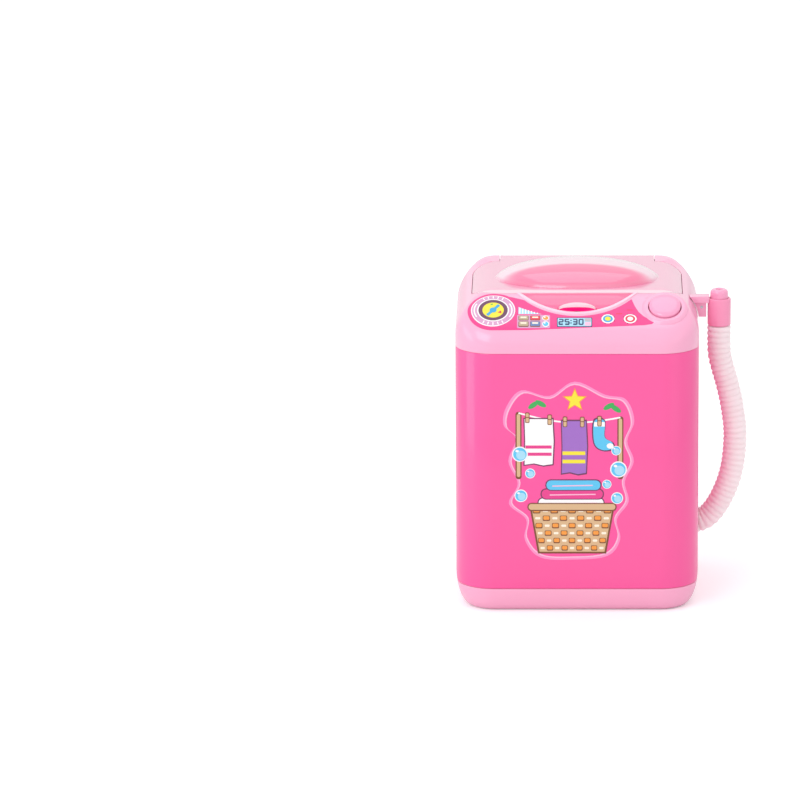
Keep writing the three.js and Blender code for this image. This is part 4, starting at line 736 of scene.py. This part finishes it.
def makeLid():
    margin = -mouth["bead"] - lid["gap"]
    thickness, side = lid["thickness"], past["side"]
    wide, deep, high = lid["bubble"]
    piece = coverForm("lidPanel", 0, lid["panelLow"])
    cut(piece, coverForm("under", thickness, past["low"]))
    outline = lidOutline("lidOutline", 0, lid["hingeY"], lid["outlineLow"])
    flap = mouthPrism("flap", margin, *lid["flap"])
    cut(flap, block("flapBack", -side, side, crease + lid["flapBack"], side, past["low"], past["high"]))
    join(outline, flap)
    keep(piece, outline)
    level = housing["top"] - thickness
    lip = hood("lip", 0)
    keep(lip, mouthPrism("lipEdge", margin, *lid["lipEdge"]))
    cut(lip, coverForm("lipUnder", thickness, past["low"]))
    join(piece, halfEgg("bubble", wide, deep, high + thickness, level), lip,
         barAcross("barrel", lid["barrel"], lid["tab"]),
         barAcross("pins", lid["pin"], lid["tab"] + lid["pinLength"]))
    cut(piece, halfEgg("bubbleInside", wide - thickness, deep - thickness, high, level - lid["bubbleSink"]),
        hood("lipInside", lid["lipSkin"]))
    y = crease + lid["ridgeBack"]
    z = coverHeight(0, y) - lid["ridgeSink"]
    join(piece, barAcross("ridge", lid["ridgeRadius"], lid["ridge"], y, z, 20))
    finishEdges(piece, lidPink, lid["bevel"])
    intoHood = hoodFrame(lid["lipSkin"]).inverted()
    # The faces inside the finger hood take the glowing hot pink, a painted light
    paintFaces(piece, lipGlow, lambda place: (intoHood @ place).length < lid["lipGlowReach"])
    settle(piece, "lid", "lid_pink", "lid")
    tintLid()


makeCover()
makeLid()
print("stage: cover and lid")

# Button, bracket and nozzle

bracket = {
    "x": 61.6, "low": 118.9, "high": 130.8, "radius": 5.05, "bore": 4.15, "soft": 0.3, "rim": 0.5,
    "rimMiddle": 0.15, "boreSpan": (110.0, 140.0), "bevel": 0.3, "coverFloor": 100.0, "armStart": 48.0,
    "arms": (("arm", 57.2, 3.0, 129.1, 131.8), ("web", 56.0, 1.5, 122.6, 131.78)),
}
nozzle = {
    "tip": 134.7, "radius": 3.85, "soft": 0.3, "noseWide": 1.5, "noseHigh": 1.7, "noseFoot": 2.2,
    "spigot": 3.1, "spigotRun": 7.0, "bore": 1.3, "boreRim": [(1.7, 0.0), (1.4, 0.3), (1.3, 0.8)],
}
sleeveFrame = shifted(bracket["x"], mouth["y"])


def makeButton():
    radius, inner, skirt = button["radius"], button["radius"] - button["wall"], -button["skirt"]
    proud, dome = button["proud"], button["dome"]
    under = proud - button["crownSkin"]
    profile = [(0, under), (inner, under), (inner, skirt), (radius, skirt)]
    profile.append((radius, proud - button["shoulder"]))
    profile += [(radius * math.cos(a) ** button["fullness"], proud + dome * math.sin(a))
                for a in quarterTurn(24)[:-1]]
    profile.append((0, proud + dome))
    piece = lathe("buttonCap", profile, 72, buttonFrame, [buttonPink], 50)
    settle(piece, "button", "pale_pink", "power_button")


def makeBracket():
    y, out, bore = mouth["y"], bracket["radius"], bracket["bore"]
    low, high, soft, middle = bracket["low"], bracket["high"], bracket["soft"], bracket["rimMiddle"]
    profile = [(bore, low), (out - soft, low), (out, low + soft), (out, high - bracket["rim"]),
               (out - middle, high - middle), (out - bracket["rim"], high), (bore, high), (bore, low)]
    piece = lathe("bracketBody", profile, 72, sleeveFrame)
    arm, web = [block(name, bracket["armStart"], end, y - half, y + half, foot, top)
                for name, end, half, foot, top in bracket["arms"]]
    join(arm, web)
    cut(arm, coverForm("coverSide", -housing["gap"], bracket["coverFloor"]))
    join(piece, arm)
    cut(piece, prism("bore", circle(bore, 72, bracket["x"], y), *bracket["boreSpan"]))
    finishEdges(piece, midPink, bracket["bevel"])
    # The arm is painted the paler pink all round, lighter than the sleeve of the same piece: painted light for
    # its upward-facing top
    paintFaces(piece, palePink, lambda place: place.x < bracket["x"] - out)
    settle(piece, "housing", "mid_pink", "hose_bracket")


def makeNozzle():
    low, tip, radius, spigot = bracket["low"], nozzle["tip"], nozzle["radius"], nozzle["spigot"]
    foot = low - nozzle["spigotRun"]
    wide, high = nozzle["noseWide"], nozzle["noseHigh"]
    profile = [(nozzle["bore"], foot), (spigot, foot), (spigot, low), (radius, low + nozzle["soft"]),
               (radius, tip - nozzle["noseFoot"])]
    profile += [(radius - wide + wide * math.cos(a), tip - high + high * math.sin(a))
                for a in quarterTurn(8)[1:]]
    profile += [(reach, tip - drop) for reach, drop in nozzle["boreRim"]] + [(nozzle["bore"], foot)]
    # The nozzle takes the lighter button pink rather than mid pink: a painted highlight on it
    piece = lathe("nozzlePlug", profile, 56, sleeveFrame, [buttonPink], 50)
    settle(piece, "housing", "mid_pink", "hose_nozzle")


makeButton()
makeBracket()
makeNozzle()
print("stage: button, bracket, nozzle")

# Labels: thin printed sheets, drawn as flat shapes and laid on their surfaces

ink = {
    "magenta": "f9559f", "rim": "fd8fc4", "white": "fbf7f8", "lilac": "d69fc6", "plum": "66365a",
    "yellow": "f3e33a", "blue": "35a6dc", "red": "e0344f", "green": "3fae5a", "paleBlue": "a8dcf2",
    "navy": "1f3a66", "tan": "d8b48a", "brown": "7b4a2b", "rose": "e6408e", "blush": "f7bcd8",
    "sky": "5cc4ee", "purple": "a06cc4", "grey": "b9b4bd", "orange": "f39a3e", "cream": "fdf1dc",
    "cerise": "f73e8c", "khaki": "bca98c", "denim": "6a86b8",
}
inks = {name: makeMaterial("ink_" + name, colour, 0.42, 0.01, 1500, 0.01) for name, colour in ink.items()}
sheet = {"base": 0.05, "layer": 0.035, "slopeMesh": 0.8, "frontMesh": 200.0, "tolerance": 1e-5, "sharp": 20}


def spin(points, x, z, degrees):
    c, s = math.cos(math.radians(degrees)), math.sin(math.radians(degrees))
    return [(x + a * c - b * s, z + a * s + b * c) for a, b in points]


def grow(points, x, z, wide, high):
    return [(x + (a - x) * wide, z + (b - z) * high) for a, b in points]


def bar(x, z, width, height, tilt=0.0):
    w, h = width / 2, height / 2
    return spin([(-w, -h), (w, -h), (w, h), (-w, h)], x, z, tilt)


def softBar(x, z, width, height, radius):
    return roundedRect(x - width / 2, x + width / 2, z - height / 2, z + height / 2, radius, 4)


def smoothLoop(points, steps=6):
    ring = [Vector(point) for point in points]
    loop = []
    for a, b, c, d in zip(ring[-1:] + ring[:-1], ring, ring[1:] + ring[:1], ring[2:] + ring[:2]):
        for k in range(steps):
            t = k / steps
            point = ((b * 2) + (c - a) * t + (a * 2 - b * 5 + c * 4 - d) * t ** 2
                     + (b * 3 - a - c * 3 + d) * t ** 3) / 2
            loop.append((point.x, point.y))
    return loop


def stroke(points, width):
    left, right = [], []
    for k, (x, z) in enumerate(points):
        before = points[max(k - 1, 0)]
        after = points[min(k + 1, len(points) - 1)]
        runX, runZ = after[0] - before[0], after[1] - before[1]
        share = width / 2 / math.hypot(runX, runZ)
        left.append((x - runZ * share, z + runX * share))
        right.append((x + runZ * share, z - runX * share))
    return left + right[::-1]


def addSheet(bm, outline, place, high, index, mesh):
    coords = []
    for a, b in zip(outline, outline[1:] + outline[:1]):
        start, end = Vector(a), Vector(b)
        steps = max(math.ceil((end - start).length / mesh), 1)
        coords += [start.lerp(end, k / steps) for k in range(steps)]
    rim = list(range(len(coords)))
    xs, ys = [c.x for c in coords], [c.y for c in coords]
    x = min(xs) + mesh / 2
    while x < max(xs):
        y = min(ys) + mesh / 2
        while y < max(ys):
            coords.append(Vector((x, y)))
            y += mesh
        x += mesh
    insideOnly = 1
    flat, _, faces = delaunay_2d_cdt(coords, [], [rim], insideOnly, sheet["tolerance"])[:3]
    bottom, top = [[bm.verts.new(place(v.x, v.y, lift)) for v in flat] for lift in (0.0, high)]
    runs = {(a, b): True for face in faces for a, b in zip(face, face[1:] + face[:1])}
    for face in faces:
        bm.faces.new([top[i] for i in face]).material_index = index
        bm.faces.new([bottom[i] for i in reversed(face)]).material_index = index
    for a, b in runs:
        if (b, a) not in runs:
            bm.faces.new((top[a], bottom[a], bottom[b], top[b])).material_index = index
    for v in bottom + top:
        if not v.link_faces:
            bm.verts.remove(v)


def makeLabel(name, shapes, place, mesh):
    # A shape lies one layer above the highest one whose box it overlaps
    bm = bmesh.new()
    names = list(dict.fromkeys(colour for colour, _ in shapes))
    boxes = []
    for colour, outline in shapes:
        xs, ys = zip(*outline)
        left, right, low, high = min(xs), max(xs), min(ys), max(ys)
        layer = max([other[4] for other in boxes if left < other[1] and other[0] < right
                     and low < other[3] and other[2] < high], default=-1) + 1
        boxes.append((left, right, low, high, layer))
        addSheet(bm, outline, place, sheet["base"] + sheet["layer"] * layer, names.index(colour), mesh)
    piece = newPiece(name, bm, [inks[colour] for colour in names], sheet["sharp"])
    settle(piece, "housing", "white_plastic")


# Control label on the slope, in X and distance back from the front face

squash = math.cos(slope)
panel = {
    "lobe": (52, 218), "curve": (-134, 89.5), "mouth": (32.8, 30.1, 39.5),
    "edge": [(-22, 3.0), (-8, 3.4), (6, 3.9), (20, 4.4), (29, 4.8), (32.2, 5.3), (33.0, 6.1),
             (31.6, 7.3), (28.6, 9.2), (26.4, 11.6), (24.9, 14.4)],
    "wedge": [(-25.2, 14.2), (-23.2, 13.2), (-20.5, 12.0), (-17.4, 10.9), (-15.0, 10.4), (-25.2, 10.4)],
    "bars": 7, "firstBar": (-24.6, 10.6, 13.7), "nextBar": (1.25, 0.43),
    "dashes": ((18.0, 10.6, 2.6), (22.6, 12.6, 2.4)),
}
dial = {
    "x": -36.1, "d": 12.4, "lobe": 11.0, "plate": (("white", 9.5, 72), ("lilac", 9.05, 72)),
    "knob": (("white", 6.85, 64), ("plum", 6.3, 64), ("yellow", 4.6, 64)), "hub": ("blue", 1.5, 24),
    "scale": 8.1, "arcs": ((150, 210), (-30, 30)), "arcWidth": 0.55,
    "ticks": (60, 75, 90, 105, 120, 240, 255, 270, 285, 300),
}
keys = {
    "plate": (-18.7, 6.75, 14.1, 6.3), "columns": (-23.0, -18.0), "lamp": -13.5,
    "rows": ((8.3, ("khaki", "red", "orange")), (5.3, ("khaki", "denim", "sky"))),
}
display = {
    "plates": (("navy", -1.1, 6.3, 15.2, 4.6, 0.5), ("paleBlue", -1.1, 6.3, 14.5, 4.0, 0.4),
               ("grey", 4.6, 7.25, 2.6, 1.6, 0.2), ("blush", 4.6, 5.3, 2.6, 1.6, 0.2)),
    "digits": ((-6.9, "2"), (-4.3, "5"), (-0.9, "3"), (1.7, "0")), "foot": 5.05, "size": (1.6, 2.5, 0.55),
    "colon": ((-2.6, 5.7), (-2.6, 7.0)),
    "segments": {"a": (0, 1), "b": (0.5, 0.75), "c": (0.5, 0.25), "d": (0, 0), "e": (-0.5, 0.25),
                 "f": (-0.5, 0.75), "g": (0, 0.5)},
    "lit": {"0": "abcdef", "2": "abged", "3": "abgcd", "5": "afgcd"},
}
marks = {"d": 7.9, "ticks": 3.1, "rings": ((13.2, "blue", "yellow"), (22.8, "red", "white"))}


def onSlope(x, d, lift):
    y = front + d
    return (x, y - lift * math.sin(slope), coverHeight(x, y) + lift * math.cos(slope))


def discs(x, d, *items):
    return [(colour, ellipse(radius, radius * squash, x, d, count)) for colour, radius, count in items]


def around(x, d, radius, degrees):
    angle = math.radians(degrees)
    return x + radius * math.cos(angle), d + radius * squash * math.sin(angle)


def sweep(start, span, steps):
    return [start + span * k / steps for k in range(steps + 1)]


def panelOutline():
    outline = [around(dial["x"], dial["d"], dial["lobe"], a) for a in sweep(*panel["lobe"], 28)]
    curve = [math.radians(a) for a in sweep(*panel["curve"], 30)]
    wide, deep, middle = panel["mouth"]
    return outline + panel["edge"] + [(wide * math.cos(a), middle + deep * math.sin(a)) for a in curve[::-1]]


def dialShapes():
    x, d, scale = dial["x"], dial["d"], dial["scale"]
    shapes = discs(x, d, *dial["plate"])
    for start, end in dial["arcs"]:
        outer, inner = [[around(x, d, scale + side * dial["arcWidth"] / 2, a)
                         for a in sweep(start, end - start, 14)] for side in (1, -1)]
        shapes.append(("white", outer + inner[::-1]))
    shapes += [("white", bar(*around(x, d, scale, turn), 1.3, 0.45, turn)) for turn in dial["ticks"]]
    shapes += discs(x, d, *dial["knob"])
    shapes += [("blue", bar(x, d, 7.4, 1.3, 47)),
               ("red", [(x + 2.0, d - 1.3), (x + 3.4, d - 0.2), (x + 3.6, d - 1.7)]),
               ("green", bar(x - 0.6, d + 3.0, 1.0, 0.45, 20))]
    return shapes + discs(x, d, dial["hub"])


def keyShapes():
    shapes = [("lilac", softBar(*keys["plate"], 0.4))]
    for d, colours in keys["rows"]:
        for x, colour in zip(keys["columns"], colours):
            shapes += [("brown", softBar(x, d, 4.4, 2.5, 0.4)), (colour, softBar(x, d + 0.1, 4.0, 2.0, 0.3)),
                       ("cream", softBar(x, d + 0.35, 2.6, 0.7, 0.2))]
        x = keys["lamp"]
        shapes += discs(x, d, ("white", 1.5, 24), (colours[2], 1.15, 24))
        shapes += discs(x - 0.4, d + 0.4, ("white", 0.4, 12))
    return shapes


def displayShapes():
    shapes = [(colour, softBar(*plate)) for colour, *plate in display["plates"]]
    width, height, weight = display["size"]
    for x, value in display["digits"]:
        for across, up in [display["segments"][key] for key in display["lit"][value]]:
            size = (weight, height / 2) if across else (width, weight)
            shapes.append(("navy", bar(x + width * across, display["foot"] + height * up, *size)))
    return shapes + [("navy", bar(x, d, 0.6, 0.5)) for x, d in display["colon"]]


def markShapes():
    shapes = []
    d = marks["d"]
    for x, ring, centre in marks["rings"]:
        for turn in range(0, 360, 45):
            shapes.append(("plum", bar(*around(x, d, marks["ticks"], turn + 22.5), 0.5, 0.35, turn)))
        shapes += discs(x, d, ("white", 2.75, 32), (ring, 2.1, 32), (centre, 1.25, 24))
    return shapes


def makeControlLabel():
    shapes = [("cerise", panelOutline())] + dialShapes() + [("paleBlue", panel["wedge"])]
    (x, foot, high), (step, drop) = panel["firstBar"], panel["nextBar"]
    for k in range(panel["bars"]):
        top = high - k * drop
        shapes.append(("white", bar(x + k * step, (foot + top) / 2, 0.5, top - foot)))
    shapes += keyShapes() + displayShapes() + markShapes()
    shapes += [("red", bar(x, d, width, 0.35)) for x, d, width in panel["dashes"]]
    makeLabel("controlLabel", shapes, onSlope, sheet["slopeMesh"])


# Front picture: a generic wash-day scene, in X and Z

picture = {
    "edge": [(-30.5, 92), (-24, 99.5), (-12, 97), (-1, 103.4), (12, 97.6), (21, 95.5), (24.6, 86), (21.6, 77),
             (24.4, 68), (20.6, 59), (22.2, 50), (17.2, 42), (18.6, 33), (13, 25.6), (-2, 24.0), (-16, 25.0),
             (-22.6, 33), (-22, 42), (-29.4, 49), (-25.6, 58), (-29.6, 68), (-26.4, 78), (-31.6, 84)],
    "centre": (-3.4, 63.6), "grounds": (("blush", 0.965, 0.977), ("magenta", 0.945, 0.963)),
    "postFoot": 60, "creaseX": -2.6,
}
basket = {
    "size": (17.5, 14.0, 20.0), "cells": (6, 9),
    "weave": ((("cream", 0.0, 0.6, 0.3, 0.4),),
              (("brown", 0.0, 0.86, 0.72, 0.5), ("orange", 0.15, 0.7, 0.5, 0.5))),
}


def onFront(x, z, lift):
    return (x, front - lift, z)


def bubble(x, z, r):
    return [("white", circle(r, 28, x, z)), ("sky", circle(r * 0.86, 28, x, z)),
            ("paleBlue", circle(r * 0.6, 24, x + r * 0.12, z - r * 0.12)),
            ("white", ellipse(r * 0.22, r * 0.16, x - r * 0.36, z + r * 0.42, 12))]


def peg(x, z):
    return [("brown", softBar(x, z, 1.9, 4.6, 0.5)), ("tan", softBar(x, z, 1.3, 4.0, 0.4)),
            ("brown", bar(x, z + 0.2, 1.3, 0.35))]


def towel(x, z, width, height, colour, stripe):
    half, low = width / 2, z - height
    hang = [(x - half, z), (x + half, z), (x + half + 0.5, z - height / 2), (x + half, low),
            (x + width / 6, low - 0.6), (x - width / 6, low + 0.3), (x - half, low - 0.3),
            (x - half + 0.3, z - height / 2)]
    stripes = [(stripe, bar(x, z - height * share, width * 0.94, height * 0.07)) for share in (0.62, 0.78)]
    return [("plum", grow(hang, x, z - height / 2, 1.08, 1.05)), (colour, hang)] + stripes


def sock(x, z, colour, cuff):
    foot = smoothLoop([(x - 2.2, z), (x + 2.2, z), (x + 2.2, z - 7), (x + 5.4, z - 9.4), (x + 5.6, z - 12.2),
                       (x + 1.2, z - 12.8), (x - 2.2, z - 9.6)], 5)
    return [("plum", grow(foot, x + 1, z - 6.4, 1.14, 1.08)), (colour, foot), (cuff, bar(x, z - 1.4, 4.6, 2.0)),
            (cuff, ellipse(1.5, 1.2, x + 4.6, z - 11.0, 16))]


def wovenBasket(x, z):
    (width, foot, height), (rows, columns) = basket["size"], basket["cells"]
    side = [(x - foot, z), (x + foot, z), (x + width, z + height), (x - width, z + height)]
    shapes = [("brown", grow(side, x, z + height / 2, 1.05, 1.08)), ("tan", side)]
    for row in range(rows):
        share = (row + 0.5) / rows
        half = foot + (width - foot) * share
        cell = 2 * half / columns
        for k in range(columns):
            for colour, lift, wide, high, radius in basket["weave"][(row + k) % 2]:
                shapes.append((colour, softBar(x - half + cell * (k + 0.5), z + height * share + lift,
                                               cell * wide, height / rows * high, radius)))
    return shapes + [("brown", softBar(x, z + height, width * 2 + 3.4, 3.6, 1.7)),
                     ("tan", softBar(x, z + height + 0.1, width * 2 + 2.4, 2.6, 1.2))]


def post(x, high):
    foot = picture["postFoot"]
    middle, tall = (high + foot) / 2, high - foot
    return [("brown", softBar(x, middle, 2.6, tall, 1.2)), ("tan", softBar(x, middle, 1.5, tall - 2, 0.7))]


def washLine(x, z, run, drop, sag):
    line = [(x + run * t, z - drop * t - sag * math.sin(math.pi * t)) for t in sweep(0, 1, 20)]
    return [("white", stroke(line, 0.7))]


def folded(x, z, colour, half):
    middle = picture["creaseX"]
    return [("plum", softBar(x, z, half * 2 + 0.9, 5.0, 2.3)), (colour, softBar(x, z, half * 2, 4.2, 2.0)),
            ("blush", stroke([(middle - half * 0.7, z - 0.4), (middle + half * 0.8, z - 0.1)], 0.5))]


def star(x, z, *reaches):
    points = [(x + reach * math.sin(math.pi * k / 5), z + reach * math.cos(math.pi * k / 5))
              for k, reach in enumerate(reaches * 5)]
    return [("orange", grow(points, x, z, 1.2, 1.2)), ("yellow", points)]


def leaf(x, z, tilt):
    return [("green", spin(ellipse(2.6, 1.1, 0, 0, 20), x, z, tilt))]


# What is drawn, in the order in which it is laid down, with the place of each item first
washDay = (
    (post, ((-25.2, 90), (18.6, 88))),
    (washLine, ((-25.2, 89.5, 43.8, 2.0, 3.2),)),
    (towel, ((-16.6, 86.8, 12.0, 20.0, "white", "rose"), (-1.4, 85.9, 10.4, 23.0, "purple", "yellow"))),
    (sock, ((9.6, 85.9, "sky", "white"),)),
    (peg, ((-21.4, 87.4), (-11.8, 86.5), (-5.2, 85.6), (2.2, 85.5), (9.6, 85.9))),
    (folded, ((-2.6, 49.4, "white", 14.0), (-2.1, 53.4, "rose", 13.2), (-1.6, 57.4, "sky", 11.6))),
    (wovenBasket, ((-2.2, 27.6),)),
    (bubble, ((-24.6, 71.2, 3.4), (-20.2, 62.6, 2.2), (17.8, 64.4, 3.6), (12.8, 57.8, 2.0), (-24.2, 52.6, 2.8),
              (16.8, 72.8, 2.1), (17.2, 51.6, 2.6))),
    (star, ((-1.0, 95.2, 4.6, 2.0),)),
    (leaf, ((13.6, 92.4, 30), (16.6, 91.4, -35), (-15.6, 93.6, 150), (-18.8, 93.0, -145))),
)


def makeFrontPicture():
    edge = smoothLoop(picture["edge"])
    shapes = [("rim", edge)]
    shapes += [(colour, grow(edge, *picture["centre"], *shares)) for colour, *shares in picture["grounds"]]
    for draw, items in washDay:
        for item in items:
            shapes += draw(*item)
    makeLabel("frontPicture", shapes, onFront, sheet["frontMesh"])


makeControlLabel()
makeFrontPicture()
print("stage: labels")

# Light and floor: each lamp has its place, its size and its power

studio = {
    "world": 0.8, "aim": (0.0, 0.0, 0.07), "floorSize": 3000.0, "floorDrop": -0.0001,
    "floorGrey": 0.93, "floorRoughness": 0.7, "floorLift": 0.25,
}
lamps = {
    "key": ((-0.5, -0.9, 0.8), (0.6, 0.6), 3.0),
    "fill": ((0.7, -0.7, 0.4), (0.5, 0.8), 0.3),
    "side": ((-1.0, -0.3, 0.2), (0.5, 0.8), 1.8),
    "top": ((0, 0.1, 1.0), (0.8, 0.8), 2.0),
}
white = (1, 1, 1, 1)


def makeFloorMaterial():
    material = bpy.data.materials.new("floorWhite")
    material.use_nodes = True
    tree = material.node_tree
    shader = tree.nodes["Principled BSDF"]
    feed(tree, shader, {"Base Color": (*[studio["floorGrey"]] * 3, 1), "Roughness": studio["floorRoughness"]})
    seen = addNode(tree, "LightPath").outputs["Is Camera Ray"]
    glow = addNode(tree, "Emission", {
        "Color": white, "Strength": calc(tree, "MULTIPLY", seen, studio["floorLift"]),
    })
    both = addNode(tree, "AddShader", {0: shader.outputs["BSDF"], 1: glow.outputs["Emission"]})
    feed(tree, tree.nodes["Material Output"], {"Surface": both.outputs["Shader"]})
    return material


def makeWorld():
    world = bpy.data.worlds.new("studio")
    scene.world = world
    world.use_nodes = True
    tree = world.node_tree
    light = tree.nodes["Background"]
    feed(tree, light, {"Color": white, "Strength": studio["world"]})
    seen = addNode(tree, "Background", {"Color": white})
    rays = addNode(tree, "LightPath").outputs
    bright = calc(tree, "MAXIMUM", rays["Is Camera Ray"], rays["Is Glossy Ray"])
    mix = addNode(tree, "MixShader", {0: bright, 1: light.outputs["Background"], 2: seen.outputs["Background"]})
    feed(tree, tree.nodes["World Output"], {"Surface": mix.outputs["Shader"]})


def makeStudio():
    makeWorld()
    for name, (place, size, power) in lamps.items():
        data = bpy.data.lights.new(name, "AREA")
        data.shape = "RECTANGLE"
        data.size, data.size_y = size
        data.energy = power
        aimAt(name, data, place, Vector(studio["aim"]) - Vector(place))
    bm = bmesh.new()
    bmesh.ops.create_grid(bm, x_segments=1, y_segments=1, size=studio["floorSize"])
    floor = newPiece("floor", bm, [makeFloorMaterial()])
    floor.location.z = studio["floorDrop"]


makeStudio()
print("stage: studio")
